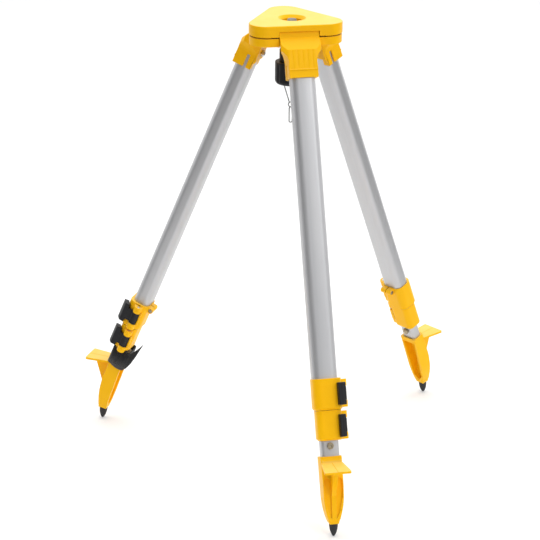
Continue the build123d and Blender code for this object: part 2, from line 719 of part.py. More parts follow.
def make_lever(outer, pin_at, top):
    """Flip lever: eccentric hub and neck between the lugs, taller paddle round the collar's corner."""
    width, thick, corner = outer
    half = width / 2 + collar_wall
    front = thick / 2 + collar_wall
    centre = (half - corner - collar_thin, front - corner - collar_thin)
    inside = corner + collar_thin + lever_clear
    outside = inside + lever_thick
    sweep_angle = lever_sweep_end - lever_sweep_start
    middle = top + lever_drop
    spare = (lever_paddle - lever_neck) / 2
    with BuildPart() as lever:
        with BuildSketch(section(middle - lever_paddle / 2)):
            with BuildLine():
                near = CenterArc(centre, inside, lever_sweep_start, sweep_angle)
                far = CenterArc(centre, outside, lever_sweep_start, sweep_angle)
                Line(near @ 0, far @ 0)
                Line(near @ 1, far @ 1)
            make_face()
            with Locations((pin_at - cam_offset, lever_pin_out)):
                Circle(hub_cam_radius)
        extrude(amount=lever_paddle)
        fillet(lever.edges().filter_by(Axis.Z).sort_by(Axis.X)[0:2], lever_edge)
        with BuildSketch(section(middle - lever_paddle / 2)):
            with Locations((half + lever_side, lever_pin_out + hub_cam_radius)):
                Rectangle(2 * lever_thick, 2 * outside, align=(Align.MIN, Align.MIN))
        extrude(amount=lever_paddle, mode=Mode.SUBTRACT)
        with BuildSketch(section(middle - lever_paddle / 2), section(middle + lever_neck / 2)):
            with Locations((pin_at, front - lever_paddle_in)):
                Rectangle(4 * lever_pin_stand, 2 * lever_paddle, align=(Align.CENTER, Align.MAX))
        extrude(amount=spare, mode=Mode.SUBTRACT)
        with BuildSketch(section(middle - lever_paddle)):
            with Locations((pin_at, lever_pin_out)):
                Circle(lever_pin_radius + running_gap)
        extrude(amount=2 * lever_paddle, mode=Mode.SUBTRACT)
    return lever.part


upper_lever = make_lever(upper_outer, upper_pin_at, upper_collar_top)
lower_lever = make_lever(middle_outer, lower_pin_at, lower_collar_top)


def make_shoe(inner, pin_at, top):
    """Brake shoe between the inner tube and the lever's hub."""
    near = inner[0] / 2 + shoe_free
    far = pin_at - cam_offset - hub_cam_radius - shoe_free
    with BuildPart() as shoe:
        with BuildSketch(section(top + lever_drop - shoe_height / 2)):
            with Locations((near, lever_pin_out)):
                Rectangle(far - near, shoe_wide, align=(Align.MIN, Align.CENTER))
        extrude(amount=shoe_height)
    return shoe.part


upper_shoe = make_shoe(middle_outer, upper_pin_at, upper_collar_top)
lower_shoe = make_shoe(lower_outer, lower_pin_at, lower_collar_top)

# Space inside the back of the foot, cut to a V at the bottom
with BuildPart() as foot_channel:
    with BuildSketch(side_view):
        with BuildLine():
            Polyline((-3 * foot_deep, -channel_top), (channel_floor_out, -channel_top),
                     (channel_floor_out, -foot_waist), (tip_out, -channel_end),
                     (-3 * foot_deep, -channel_end), close=True)
        make_face()
    extrude(amount=foot_half_top, both=True)
    with BuildSketch(front_view):
        with BuildLine():
            Polyline((0, -channel_top), (channel_half_top, -channel_top), (channel_half_end, -foot_cheek),
                     (0, -channel_end))
            mirror(about=Plane.YZ)
        make_face()
    extrude(amount=4 * foot_deep, both=True, mode=Mode.INTERSECT)

# Arched hollows in the front of the foot, either side of the rib, which narrow and run out towards the toe
toe_outer = (tip_out + foot_toe_half * cos(radians(tip_lean)), -tip_depth - foot_toe_half * sin(radians(tip_lean)))
toe_inner = (tip_out - foot_toe_half * cos(radians(tip_lean)), -tip_depth + foot_toe_half * sin(radians(tip_lean)))
pocket_side = foot_half_top - pocket_rim
pocket_round = (pocket_side - foot_rib_half) / 2
with BuildPart() as foot_pockets:
    with BuildSketch(side_view):
        Polygon((foot_deep - pocket_deep, -pocket_top), (2 * foot_deep, -pocket_top), (2 * foot_deep, toe_outer[1]),
                toe_outer, (foot_shin_out - pocket_shin, -foot_shin), align=None)
    extrude(amount=foot_half_top, both=True)
    with BuildSketch(front_view):
        with BuildLine():
            Polyline((pocket_side, -pocket_top - pocket_round), (foot_waist_half - pocket_rim, -foot_waist),
                     (foot_cheek_half - pocket_cheek_rim, -foot_cheek), (foot_rib_half, -pocket_end),
                     (foot_rib_half, -pocket_top - pocket_round))
            ThreePointArc((foot_rib_half, -pocket_top - pocket_round),
                          ((foot_rib_half + pocket_side) / 2, -pocket_top), (pocket_side, -pocket_top - pocket_round))
        make_face()
        mirror(about=Plane.YZ)
    extrude(amount=4 * foot_deep, mode=Mode.INTERSECT)

# Foot: body, tread and gusset, then socket with tongue, open back, front hollows and bolt hole
tread_down = radians(tread_angle)
tread_plane = Plane((0, -leg_offset - tread_out, -tread_depth), x_dir=(1, 0, 0),
                    z_dir=(0, sin(tread_down), -cos(tread_down)))
gusset_tip = (tread_out + gusset_reach * cos(tread_down), -tread_depth - gusset_reach * sin(tread_down))
tip_plane = Plane((0, -leg_offset - tip_out, -tip_depth), x_dir=(1, 0, 0),
                  z_dir=(0, sin(radians(tip_lean)), -cos(radians(tip_lean))))
with BuildPart() as foot:
    with BuildSketch(section(foot_top)):
        with Locations((0, -foot_lean / 2)):
            RectangleRounded(2 * foot_half_top, 2 * foot_deep + foot_lean, foot_corner)
    extrude(amount=tip_depth + foot_toe_half - foot_top)
    with BuildSketch(side_view):
        with BuildLine():
            Polyline((foot_deep, -foot_knee), (foot_deep, -foot_top), (-foot_deep, -foot_top), toe_inner, toe_outer)
            ThreePointArc(toe_outer, (foot_shin_out, -foot_shin), (foot_deep, -foot_knee))
        make_face()
    extrude(amount=2 * foot_half_top, both=True, mode=Mode.INTERSECT)
    with BuildSketch(front_view):
        with BuildLine():
            Polyline((0, -foot_top), (foot_half_top, -foot_top), (foot_waist_half, -foot_waist))
            ThreePointArc((foot_waist_half, -foot_waist), (foot_cheek_half, -foot_cheek), (foot_toe_half, -foot_toe))
            Polyline((foot_toe_half, -foot_toe), (foot_toe_half, -foot_toe - foot_toe_half),
                     (0, -foot_toe - foot_toe_half))
            mirror(about=Plane.YZ)
        make_face()
    extrude(amount=4 * foot_deep, both=True, mode=Mode.INTERSECT)
    add(foot_pockets.part, mode=Mode.SUBTRACT)
    with BuildSketch(tread_plane) as tread_outline:
        Polygon((-tread_back_half, 0), (tread_back_half, 0), (tread_front_half, tread_length),
                (-tread_front_half, tread_length), align=None)
        fillet(tread_outline.vertices().sort_by(Axis.Y)[-2:], tread_corner)
    extrude(amount=tread_thick)
    with BuildSketch(side_view):
        Polygon((channel_floor_out, -tread_depth - tread_thick), (tread_out, -tread_depth - tread_thick), gusset_tip,
                (foot_shin_out, -foot_waist), (channel_floor_out, -foot_waist), align=None)
    extrude(amount=foot_rib_half, both=True)
    add(foot_channel.part, mode=Mode.SUBTRACT)
    with BuildSketch(section(foot_top)):
        RectangleRounded(lower_width + 2 * seat_gap, lower_thick + 2 * seat_gap, lower_corner + seat_gap)
    extrude(amount=foot_seat + seat_gap, mode=Mode.SUBTRACT)
    with BuildSketch(section(tongue_top)):
        RectangleRounded(lower_width - 2 * lower_wall - 2 * seat_gap, lower_thick - 2 * lower_wall - 2 * seat_gap,
                         lower_corner - lower_wall - seat_gap)
    extrude(amount=channel_top - tongue_top)
    with Locations(Location((0, -leg_offset, -foot_bolt_depth), (90, 0, 0))):
        Cylinder(bolt_radius + seat_gap, 4 * foot_deep, mode=Mode.SUBTRACT)
    with BuildSketch(tip_plane):
        Circle(tip_stud_radius + seat_gap)
    extrude(amount=-tip_stud, mode=Mode.SUBTRACT)

# Foot point: round-nosed bullet on a stud
with BuildPart() as foot_tip:
    with BuildSketch(Plane.XZ):
        with BuildLine():
            Polyline((0, tip_stud - seat_gap), (tip_stud_radius, tip_stud - seat_gap), (tip_stud_radius, -seat_gap),
                     (tip_radius, -seat_gap), (tip_shoulder_radius, -tip_shoulder),
                     (tip_nose_radius, -tip_length + tip_nose_radius))
            RadiusArc((tip_nose_radius, -tip_length + tip_nose_radius), (0, -tip_length), tip_nose_radius)
            Line((0, -tip_length), (0, tip_stud - seat_gap))
        make_face()
    revolve(axis=Axis.Z)
tip_place = Location((0, -leg_offset - tip_out, -tip_depth), (tip_lean, 0, 0))

# Foot bolt with pan head outside and nut inside
foot_bolt_outer = Plane((0, -leg_offset - lower_thick / 2 - seat_gap, -foot_bolt_depth), z_dir=(0, -1, 0))
foot_bolt_inner = Plane((0, -leg_offset + lower_thick / 2 + seat_gap, -foot_bolt_depth), z_dir=(0, 1, 0))
with BuildPart() as foot_bolt:
    with BuildSketch(foot_bolt_outer):
        Circle(foot_bolt_head_radius)
    extrude(amount=foot_bolt_head)
    with BuildSketch(foot_bolt_outer):
        Circle(bolt_radius)
    extrude(amount=-lower_thick - 2 * seat_gap - bolt_nut - foot_bolt_end)
    with BuildSketch(foot_bolt_inner):
        RegularPolygon(bolt_nut_across / 2, 6, major_radius=False)
    extrude(amount=bolt_nut)

# Strap: a ring of webbing round the lowest tube of the left leg, with its pointed tail standing off inward
tail_point = (-strap_back - strap_tail_out, strap_tail_rise - strap_top)
with BuildPart() as leg_strap:
    with BuildSketch(section(strap_top)):
        with Locations((0, (strap_front - strap_back) / 2)):
            RectangleRounded(2 * (strap_half + strap_thick), strap_front + strap_back + 2 * strap_thick,
                             strap_corner + strap_thick)
            RectangleRounded(2 * strap_half, strap_front + strap_back, strap_corner, mode=Mode.SUBTRACT)
    extrude(amount=strap_width)
    with BuildSketch(side_view.offset(-strap_half)):
        with BuildLine():
            Polyline((strap_corner - strap_back, -strap_top), (-strap_back, -strap_top),
                     tail_point, (tail_point[0] - strap_tail_end, tail_point[1]),
                     (-strap_back, -strap_end + strap_corner), (strap_corner - strap_back, -strap_end), close=True)
        make_face()
    extrude(amount=-strap_thick)

head_pieces = {
    "head_cap": head_cap.part,
    "head_body": head_body.part,
    "cap_screws": cap_screws.part,
    "hinge_pins": hinge_pins.part,
    "fixing_screw": fixing_screw.part,
    "fixing_knob": fixing_knob.part,
    "thrust_washer": thrust_washer.part,
    "plumb_hook": plumb_hook.part,
}
for name, piece in head_pieces.items():
    piece.label = name
    export_step(piece, f"parts/{name}.step")

leg_pieces = {
    "leg_bracket": leg_bracket.part,
    "upper_tube": upper_tube.part,
    "upper_collar": upper_collar.part,
    "upper_fixings": upper_fixings.part,
    "upper_lever": upper_lever,
    "upper_shoe": upper_shoe,
    "middle_tube": middle_tube,
    "middle_bush": middle_bush,
    "lower_collar": lower_collar,
    "lower_lever_pin": lower_lever_pin,
    "lower_lever": lower_lever,
    "lower_shoe": lower_shoe,
    "lower_tube": lower_tube.part,
    "lower_bush": lower_bush,
    "foot": foot.part,
    "foot_tip": tip_place * foot_tip.part,
    "foot_bolt": foot_bolt.part,
}
hinge_place = Location((0, -hinge_radius, -hinge_drop), (-leg_spread, 0, 0))
for leg, turn in leg_turns.items():
    leg_place = Location((0, 0, 0), (0, 0, turn)) * hinge_place
    for name, piece in leg_pieces.items():
        placed = leg_place * piece
        placed.label = f"{leg}_{name}"
        export_step(placed, f"parts/{leg}_{name}.step")
    if leg == "left":
        placed = leg_place * leg_strap.part
        placed.label = "leg_strap"
        export_step(placed, "parts/leg_strap.step")
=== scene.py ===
"""Looks of the laser level tripod: moulded head and feet, drawn tubes, lever locks, screw, hook and strap.

Metres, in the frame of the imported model. The file follows the tripod as it is put together, from the head down.
New shapes are drawn in millimetres and brought to metres when they are put in place.
"""

from math import atan2, cos, degrees, hypot, pi, radians, sin

import bmesh
import bpy
from mathutils import Matrix, Vector


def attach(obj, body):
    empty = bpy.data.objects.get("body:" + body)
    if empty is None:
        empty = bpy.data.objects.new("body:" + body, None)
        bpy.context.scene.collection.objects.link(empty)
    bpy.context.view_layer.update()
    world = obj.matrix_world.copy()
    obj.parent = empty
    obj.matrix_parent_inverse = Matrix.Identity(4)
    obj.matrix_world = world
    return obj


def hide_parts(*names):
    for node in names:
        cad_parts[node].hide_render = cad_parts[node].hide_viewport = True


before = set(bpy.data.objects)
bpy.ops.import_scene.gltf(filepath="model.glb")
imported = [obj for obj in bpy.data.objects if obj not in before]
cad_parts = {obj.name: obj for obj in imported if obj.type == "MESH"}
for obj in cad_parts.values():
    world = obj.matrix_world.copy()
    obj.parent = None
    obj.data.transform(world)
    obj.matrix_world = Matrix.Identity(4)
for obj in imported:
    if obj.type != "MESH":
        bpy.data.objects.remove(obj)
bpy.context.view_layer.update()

# Studio: a white sheet on a darker floor, which runs out of the picture, and a white room behind the tripod.
# One wide soft light hangs overhead, a second stands at the right of the camera and a weak one at the left.
# A pale screen beside the camera gives the tubes their long soft reflection.
floor_height = -0.7587
floor_radius = 30.0
floor_white = (0.95, 0.95, 0.945, 1.0)
floor_bare = (0.20, 0.20, 0.20, 1.0)
camera_at = Vector((-0.7182, -3.1187, 0.7632))
camera_aim = Vector((-0.0305, 0.0070, -0.4356))
camera_lens = 134.86
camera_roll = radians(0.59)


def add_node(tree, kind, values=None, **settings):
    """Places one node. A value that is a socket is linked, any other is set on the node's own socket."""
    node = tree.nodes.new(kind)
    for setting, value in settings.items():
        setattr(node, setting, value)
    for socket, value in (values or {}).items():
        if isinstance(value, bpy.types.NodeSocket):
            tree.links.new(value, node.inputs[socket])
        else:
            node.inputs[socket].default_value = value
    return node


def new_finish(name, **constants):
    """Material with a Principled shader and its output. Returns the material, its tree and the shader."""
    finish = bpy.data.materials.new(name)
    finish.use_nodes = True
    tree = finish.node_tree
    tree.nodes.clear()
    shader = add_node(tree, "ShaderNodeBsdfPrincipled")
    add_node(tree, "ShaderNodeOutputMaterial", {"Surface": shader.outputs["BSDF"]})
    for socket, value in constants.items():
        shader.inputs[socket.replace("_", " ")].default_value = value
    return finish, tree, shader


def place_light(name, at, aim, size, power):
    """Square soft light that faces a point."""
    lamp = bpy.data.lights.new(name, "AREA")
    lamp.shape, lamp.size, lamp.energy = "SQUARE", size, power
    light = bpy.data.objects.new(name, lamp)
    bpy.context.scene.collection.objects.link(light)
    light.location = at
    light.rotation_mode = "QUATERNION"
    light.rotation_quaternion = (Vector(aim) - Vector(at)).to_track_quat("-Z", "Y")


floor_shape = bmesh.new()
bmesh.ops.create_circle(floor_shape, cap_ends=True, segments=96, radius=floor_radius)
bmesh.ops.translate(floor_shape, vec=(0, 0, floor_height), verts=floor_shape.verts)
floor_mesh = bpy.data.meshes.new("studio_floor")
floor_shape.to_mesh(floor_mesh)
floor_shape.free()
floor_paint, tree, shader = new_finish("floor_paint", Roughness=0.75)
place = add_node(tree, "ShaderNodeTexCoord")
spot = add_node(tree, "ShaderNodeSeparateXYZ", {0: place.outputs["Object"]})
aside = add_node(tree, "ShaderNodeMath", {0: spot.outputs["X"]}, operation="ABSOLUTE")
off_sheet = add_node(tree, "ShaderNodeMapRange", {"Value": aside.outputs[0], "From Min": 0.75, "From Max": 1.15})
forward = add_node(tree, "ShaderNodeMapRange", {"Value": spot.outputs["Y"], "From Min": 0.9, "From Max": 0.3})
bare = add_node(tree, "ShaderNodeMath", {0: off_sheet.outputs[0], 1: forward.outputs[0]}, operation="MULTIPLY")
tint = add_node(tree, "ShaderNodeMix", {0: bare.outputs[0], 6: floor_white, 7: floor_bare}, data_type="RGBA")
tree.links.new(tint.outputs[2], shader.inputs["Base Color"])
floor_mesh.materials.append(floor_paint)
studio_floor = bpy.data.objects.new("studio_floor", floor_mesh)
bpy.context.scene.collection.objects.link(studio_floor)

room = bpy.data.worlds.new("studio_room")
room.use_nodes = True
bpy.context.scene.world = room
tree = room.node_tree
tree.nodes.clear()
direction = add_node(tree, "ShaderNodeTexCoord")
split = add_node(tree, "ShaderNodeSeparateXYZ", {0: direction.outputs["Generated"]})
behind = add_node(tree, "ShaderNodeMapRange", {"Value": split.outputs["Y"], "From Min": -0.35, "From Max": 0.45,
                                               "To Min": 0.15, "To Max": 1.18}, interpolation_type="SMOOTHSTEP")
camera_side = add_node(tree, "ShaderNodeMapRange", {"Value": split.outputs["Y"], "From Min": -0.45,
                                                    "From Max": -0.9}, interpolation_type="SMOOTHSTEP")
to_right = add_node(tree, "ShaderNodeMapRange", {"Value": split.outputs["X"], "From Min": -0.25, "From Max": 0.55,
                                                 "To Min": 0.21, "To Max": 0.56}, interpolation_type="SMOOTHSTEP")
screen = add_node(tree, "ShaderNodeMath", {0: camera_side.outputs[0], 1: to_right.outputs[0]}, operation="MULTIPLY")
right_wall = add_node(tree, "ShaderNodeMapRange", {"Value": split.outputs["X"], "From Min": 0.3, "From Max": 0.75,
                                                   "To Min": 0.0, "To Max": 0.60}, interpolation_type="SMOOTHSTEP")
overhead = add_node(tree, "ShaderNodeMapRange", {"Value": split.outputs["Z"], "From Min": 0.35, "From Max": 0.9,
                                                 "To Min": 0.0, "To Max": 0.25}, interpolation_type="SMOOTHSTEP")
sides = add_node(tree, "ShaderNodeMath", {0: behind.outputs[0], 1: screen.outputs[0]}, operation="ADD")
around = add_node(tree, "ShaderNodeMath", {0: sides.outputs[0], 1: right_wall.outputs[0]}, operation="ADD")
glow = add_node(tree, "ShaderNodeMath", {0: around.outputs[0], 1: overhead.outputs[0]}, operation="ADD")
air = add_node(tree, "ShaderNodeBackground", {"Color": (1, 1, 1, 1), "Strength": glow.outputs[0]})
add_node(tree, "ShaderNodeOutputWorld", {"Surface": air.outputs[0]})

place_light("overhead_light", at=(-0.3, 0.2, 2.6), aim=(0, 0, -0.4), size=3.0, power=40.0)
place_light("left_light", at=(-1.7, -2.6, 2.9), aim=(0, 0, -0.35), size=1.8, power=9.0)
place_light("right_light", at=(1.9, -2.7, 2.3), aim=(0, 0, -0.35), size=1.6, power=34.0)
bpy.context.scene.view_settings.view_transform = "Standard"

lens = bpy.data.cameras.new("photo_camera")
lens.sensor_width = 36.0
lens.lens = camera_lens
camera = bpy.data.objects.new("photo_camera", lens)
bpy.context.scene.collection.objects.link(camera)
ahead = (camera_aim - camera_at).normalized()
level = ahead.cross(Vector((0, 0, 1))).normalized()
upright = level.cross(ahead)
across = level * cos(camera_roll) + upright * sin(camera_roll)
upward = upright * cos(camera_roll) - level * sin(camera_roll)
camera.matrix_world = Matrix.Translation(camera_at) @ Matrix((across, upward, -ahead)).transposed().to_4x4()
bpy.context.scene.camera = camera

# Head cover: the yellow cap with the flat seat, injection moulded in glass-filled nylon with a fine spark grain.
# Three screws from below hold it on the casting. Its corners carry the mould's small radius, and a seam stays open
# between the two.
cover_edge = 0.0009
cover_rim = (-0.01905, -0.01805)
seam_opening = 0.0006
yellow_full = (1.0, 0.545, 0.003, 1.0)
yellow_deep = (0.97, 0.49, 0.002, 1.0)
# Paler yellow for exposed edges: wear, and painted highlight
yellow_worn_highlight = (1.0, 0.66, 0.12, 1.0)
# Pale yellow for faces turned upwards: dust, and painted sheen
yellow_dust_and_sheen = (0.93, 0.78, 0.34, 1.0)
# Deep brown for seams and inner corners: painted shade
yellow_crease_shade = (0.16, 0.07, 0.006, 1.0)
weld_reach = 0.000004
sliver_length = 0.00008
flat_angle = radians(0.5)
corner_angle = radians(25)
tip_angle = radians(30)
sharp_angle = radians(36)
least_length = 0.8
least_width = 2.2


def new_group(name, inputs, outputs):
    """Shader node group with float sockets. Returns the group and its input and output nodes."""
    group = bpy.data.node_groups.new(name, "ShaderNodeTree")
    for socket, value in inputs.items():
        made = group.interface.new_socket(socket, in_out="INPUT", socket_type="NodeSocketFloat")
        made.default_value = value
    for socket in outputs:
        group.interface.new_socket(socket, in_out="OUTPUT", socket_type="NodeSocketFloat")
    return group, group.nodes.new("NodeGroupInput"), group.nodes.new("NodeGroupOutput")


# Grain that a spark-eroded mould leaves on plastic, and the slow change of tone across a moulding
moulded_grain, given, result = new_group("moulded_grain", {"Grain": 1500.0, "Mottle": 16.0}, ["Height", "Patch"])
point = add_node(moulded_grain, "ShaderNodeTexCoord")
pebble = add_node(moulded_grain, "ShaderNodeTexVoronoi", {"Vector": point.outputs["Object"],
                                                          "Scale": given.outputs["Grain"]}, feature="SMOOTH_F1")
fine = add_node(moulded_grain, "ShaderNodeTexNoise", {"Vector": point.outputs["Object"],
                                                      "Scale": given.outputs["Grain"], "Detail": 3.0})
tooth = add_node(moulded_grain, "ShaderNodeMath", {0: pebble.outputs["Distance"], 1: fine.outputs["Fac"]},
                 operation="MULTIPLY")
patch = add_node(moulded_grain, "ShaderNodeTexNoise", {"Vector": point.outputs["Object"],
                                                       "Scale": given.outputs["Mottle"], "Detail": 4.0})
moulded_grain.links.new(tooth.outputs[0], result.inputs["Height"])
moulded_grain.links.new(patch.outputs["Fac"], result.inputs["Patch"])

# Wear where handling rubs the corners, with a painted highlight: a mask that is 1 on an exposed edge, broken up by
# noise, which lightens the colour there
worn_edges_and_highlight, given, result = new_group("worn_edges_and_highlight", {"Reach": 0.0012, "Break": 90.0}, ["Mask"])
rounded = add_node(worn_edges_and_highlight, "ShaderNodeBevel", {"Radius": given.outputs["Reach"]}, samples=6)
flat = add_node(worn_edges_and_highlight, "ShaderNodeNewGeometry")
facing = add_node(worn_edges_and_highlight, "ShaderNodeVectorMath", {0: rounded.outputs["Normal"], 1: flat.outputs["Normal"]},
                  operation="DOT_PRODUCT")
edge = add_node(worn_edges_and_highlight, "ShaderNodeMapRange", {"Value": facing.outputs["Value"], "From Min": 0.985,
                                                     "From Max": 0.80})
point = add_node(worn_edges_and_highlight, "ShaderNodeTexCoord")
speck = add_node(worn_edges_and_highlight, "ShaderNodeTexNoise", {"Vector": point.outputs["Object"],
                                                      "Scale": given.outputs["Break"], "Detail": 5.0})
broken = add_node(worn_edges_and_highlight, "ShaderNodeMapRange", {"Value": speck.outputs["Fac"], "From Min": 0.38,
                                                       "From Max": 0.62})
worn_and_highlit = add_node(worn_edges_and_highlight, "ShaderNodeMath", {0: edge.outputs[0], 1: broken.outputs[0]}, operation="MULTIPLY")
worn_edges_and_highlight.links.new(worn_and_highlit.outputs[0], result.inputs["Mask"])

# Dust that settles on faces turned upwards, with painted sheen: it makes upward faces paler, as a reflection at a
# grazing view would
settled_dust_and_sheen, given, result = new_group("settled_dust_and_sheen", {"Patches": 22.0}, ["Mask"])
point = add_node(settled_dust_and_sheen, "ShaderNodeTexCoord")
lean = add_node(settled_dust_and_sheen, "ShaderNodeSeparateXYZ", {0: point.outputs["Normal"]})
upper = add_node(settled_dust_and_sheen, "ShaderNodeMapRange", {"Value": lean.outputs["Z"], "From Min": 0.84, "From Max": 0.99})
drift = add_node(settled_dust_and_sheen, "ShaderNodeTexNoise", {"Vector": point.outputs["Object"],
                                                      "Scale": given.outputs["Patches"], "Detail": 6.0})
lying = add_node(settled_dust_and_sheen, "ShaderNodeMapRange", {"Value": drift.outputs["Fac"], "From Min": 0.30,
                                                      "From Max": 0.70, "To Min": 0.55, "To Max": 1.0})
dust_and_sheen = add_node(settled_dust_and_sheen, "ShaderNodeMath", {0: upper.outputs[0], 1: lying.outputs[0]}, operation="MULTIPLY")
settled_dust_and_sheen.links.new(dust_and_sheen.outputs[0], result.inputs["Mask"])

# Painted shade in seams and inner corners: a mask that is 1 where the surface is closed in on itself, which darkens
# the colour where shade falls
painted_crease_shade, given, result = new_group("painted_crease_shade", {"Reach": 0.004}, ["Mask"])
openness = add_node(painted_crease_shade, "ShaderNodeAmbientOcclusion", {"Distance": given.outputs["Reach"]}, samples=8)
closed_in = add_node(painted_crease_shade, "ShaderNodeMapRange", {"Value": openness.outputs["AO"], "From Min": 0.48,
                                                         "From Max": 0.12})
painted_crease_shade.links.new(closed_in.outputs[0], result.inputs["Mask"])


def use_group(tree, group, **values):
    """Places a shared effect in a material with this material's own values."""
    node = add_node(tree, "ShaderNodeGroup", node_tree=group)
    for socket, value in values.items():
        node.inputs[socket].default_value = value
    return node


def part_of(tree, mask, share):
    """A mask turned down to a share of its strength."""
    return add_node(tree, "ShaderNodeMath", {0: mask, 1: share}, operation="MULTIPLY").outputs[0]


def blend_tone(tree, mask, below, above):
    """Colour that goes from below to above with a mask."""
    return add_node(tree, "ShaderNodeMix", {0: mask, 6: below, 7: above}, data_type="RGBA").outputs[2]


def spread(tree, value, low, high):
    """A noise value stretched between two limits."""
    return add_node(tree, "ShaderNodeMapRange", {"Value": value, "From Min": 0.3, "From Max": 0.7,
                                                 "To Min": low, "To Max": high}).outputs[0]


def raise_from(tree, shader, height, depth, strength):
    """Bump of a given depth in metres on the shader's normal."""
    bump = add_node(tree, "ShaderNodeBump", {"Height": height, "Distance": depth, "Strength": strength})
    tree.links.new(bump.outputs[0], shader.inputs["Normal"])


def grained_finish(name, grain, tones, gloss, bump, layers=(), **constants):
    """Finish of a grained piece: tone and gloss that change in patches, then layers of wear, dust, painted highlight,
    painted sheen and painted shade on top.

    A layer is a shared effect with its values, the share of its mask that counts, and a colour.
    """
    finish, tree, shader = new_finish(name, **constants)
    surface = use_group(tree, moulded_grain, Grain=grain[0], Mottle=grain[1])
    tone = blend_tone(tree, surface.outputs["Patch"], *tones)
    for group, values, share, colour in layers:
        layer = use_group(tree, group, **values)
        tone = blend_tone(tree, part_of(tree, layer.outputs["Mask"], share), tone, colour)
    tree.links.new(tone, shader.inputs["Base Color"])
    tree.links.new(spread(tree, surface.outputs["Patch"], *gloss), shader.inputs["Roughness"])
    raise_from(tree, shader, surface.outputs["Height"], *bump)
    return finish


# Yellow finish: paler edges as wear and painted highlight, paler upward faces as dust and painted sheen, and painted
# shade in seams and inner corners
yellow = grained_finish("yellow_moulding", grain=(1400.0, 15.0), gloss=(0.33, 0.43), bump=(0.00016, 0.35),
                        tones=(yellow_deep, yellow_full),
                        layers=[(worn_edges_and_highlight, {"Reach": 0.0014, "Break": 85.0}, 0.32, yellow_worn_highlight),
                                (settled_dust_and_sheen, {"Patches": 24.0}, 0.42, yellow_dust_and_sheen),
                                (painted_crease_shade, {"Reach": 0.005}, 0.75, yellow_crease_shade)],
                        Specular_IOR_Level=0.13)


def face_reach(face, edge):
    """How far a face reaches away from the line of one of its edges."""
    start = edge.verts[0].co
    line = (edge.verts[1].co - start).normalized()
    return max((point.co - start - line * (point.co - start).dot(line)).length for point in face.verts)


def moulded_copy(node, edge, plain_faces=False):
    """A node's own shape, welded, with whole flat faces and its sharp corners rounded to the mould's radius.

    An edge stays sharp where it is too short, or one of its faces too narrow or too pointed, for the round.
    With plain_faces it also stays sharp next to a face that has inner corners.
    """
    shape = bmesh.new()
    shape.from_mesh(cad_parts[node].data)
    bmesh.ops.remove_doubles(shape, verts=shape.verts, dist=weld_reach)
    bmesh.ops.dissolve_limit(shape, angle_limit=flat_angle, verts=shape.verts, edges=shape.edges)
    corners = []
    for line in shape.edges:
        if line.is_manifold and line.calc_face_angle() > corner_angle and line.calc_length() > least_length * edge:
            tips = [loop.calc_angle() for face in line.link_faces for loop in face.loops if loop.vert in line.verts]
            inner = any(not loop.is_convex for face in line.link_faces for loop in face.loops)
            wide = min(face_reach(face, line) for face in line.link_faces) > least_width * edge
            if min(tips) > tip_angle and wide and not (plain_faces and inner):
                corners.append(line)
    bmesh.ops.bevel(shape, geom=corners, offset=edge, offset_type="OFFSET", segments=2, profile=0.5,
                    affect="EDGES", material=-1, clamp_overlap=False)
    bmesh.ops.dissolve_degenerate(shape, dist=sliver_length, edges=shape.edges)
    return shape


def set_piece(shape, name, finish, body, slot, *nodes):
    """Makes a finished shape a piece with smooth rounds and flat faces, on its body, standing for its nodes."""
    mesh = bpy.data.meshes.new(name)
    shape.to_mesh(mesh)
    shape.free()
    mesh.shade_smooth()
    mesh.set_sharp_from_angle(angle=sharp_angle)
    mesh.materials.append(finish)
    piece = bpy.data.objects.new(name, mesh)
    bpy.context.scene.collection.objects.link(piece)
    flatten = piece.modifiers.new("flat_faces_stay_flat", "WEIGHTED_NORMAL")
    flatten.keep_sharp = True
    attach(piece, body)
    if nodes:
        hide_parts(*nodes)
    return piece


def shift_rim(shape, low, high, shift):
    """Moves the rim that lies between two heights, with its round, up or down."""
    for point in shape.verts:
        if low < point.co.z < high:
            point.co.z += shift
    return shape


cover = shift_rim(moulded_copy("head_cap", cover_edge), *cover_rim, seam_opening)
set_piece(cover, "head_cover", yellow, "head", "yellow_moulding", "head_cap")

# Head casting: the yellow body under the cover, with the three forks for the legs and the guide for the screw.
# Moulded in the same nylon as the cover and held to it by the three screws.
casting_edge = 0.0008
casting_rim = (-0.02085, -0.01995)
casting = shift_rim(moulded_copy("head_body", casting_edge), *casting_rim, -seam_opening)
set_piece(casting, "head_casting", yellow, "head", "yellow_moulding", "head_body")

# Cover screws: three zinc plated pan heads with a cross recess, sunk in the underside of the casting.
# The same turned head, with other sizes, serves for the screws and bolts of the legs.
in_metres = Matrix.Scale(0.001, 4)
screw_circle = 50.0
screw_head_low = -33.95
screw_profile = [(0.0, 22.5), (2.4, 22.5), (2.4, 3.3), (4.4, 3.3), (4.4, 1.1), (4.0, 0.35), (3.2, 0.0), (2.6, 0.0)]
screw_recess_radius = 2.6
screw_recess_depth = 1.7
screw_recess = [(screw_recess_radius, 1.6), (0.0, 2.0)]
cross_arm_angle = 34
cross_inner_share = 0.42
weld_mm = 0.001

# Its edges are lighter: wear of the plating, and painted highlight
steel = grained_finish("zinc_plated_steel", grain=(2600.0, 120.0), gloss=(0.26, 0.42), bump=(0.00005, 0.2),
                       tones=((0.56, 0.56, 0.57, 1.0), (0.70, 0.70, 0.69, 1.0)),
                       layers=[(worn_edges_and_highlight, {"Reach": 0.0006, "Break": 300.0}, 0.5, (0.86, 0.86, 0.85, 1.0))],
                       Metallic=1.0)


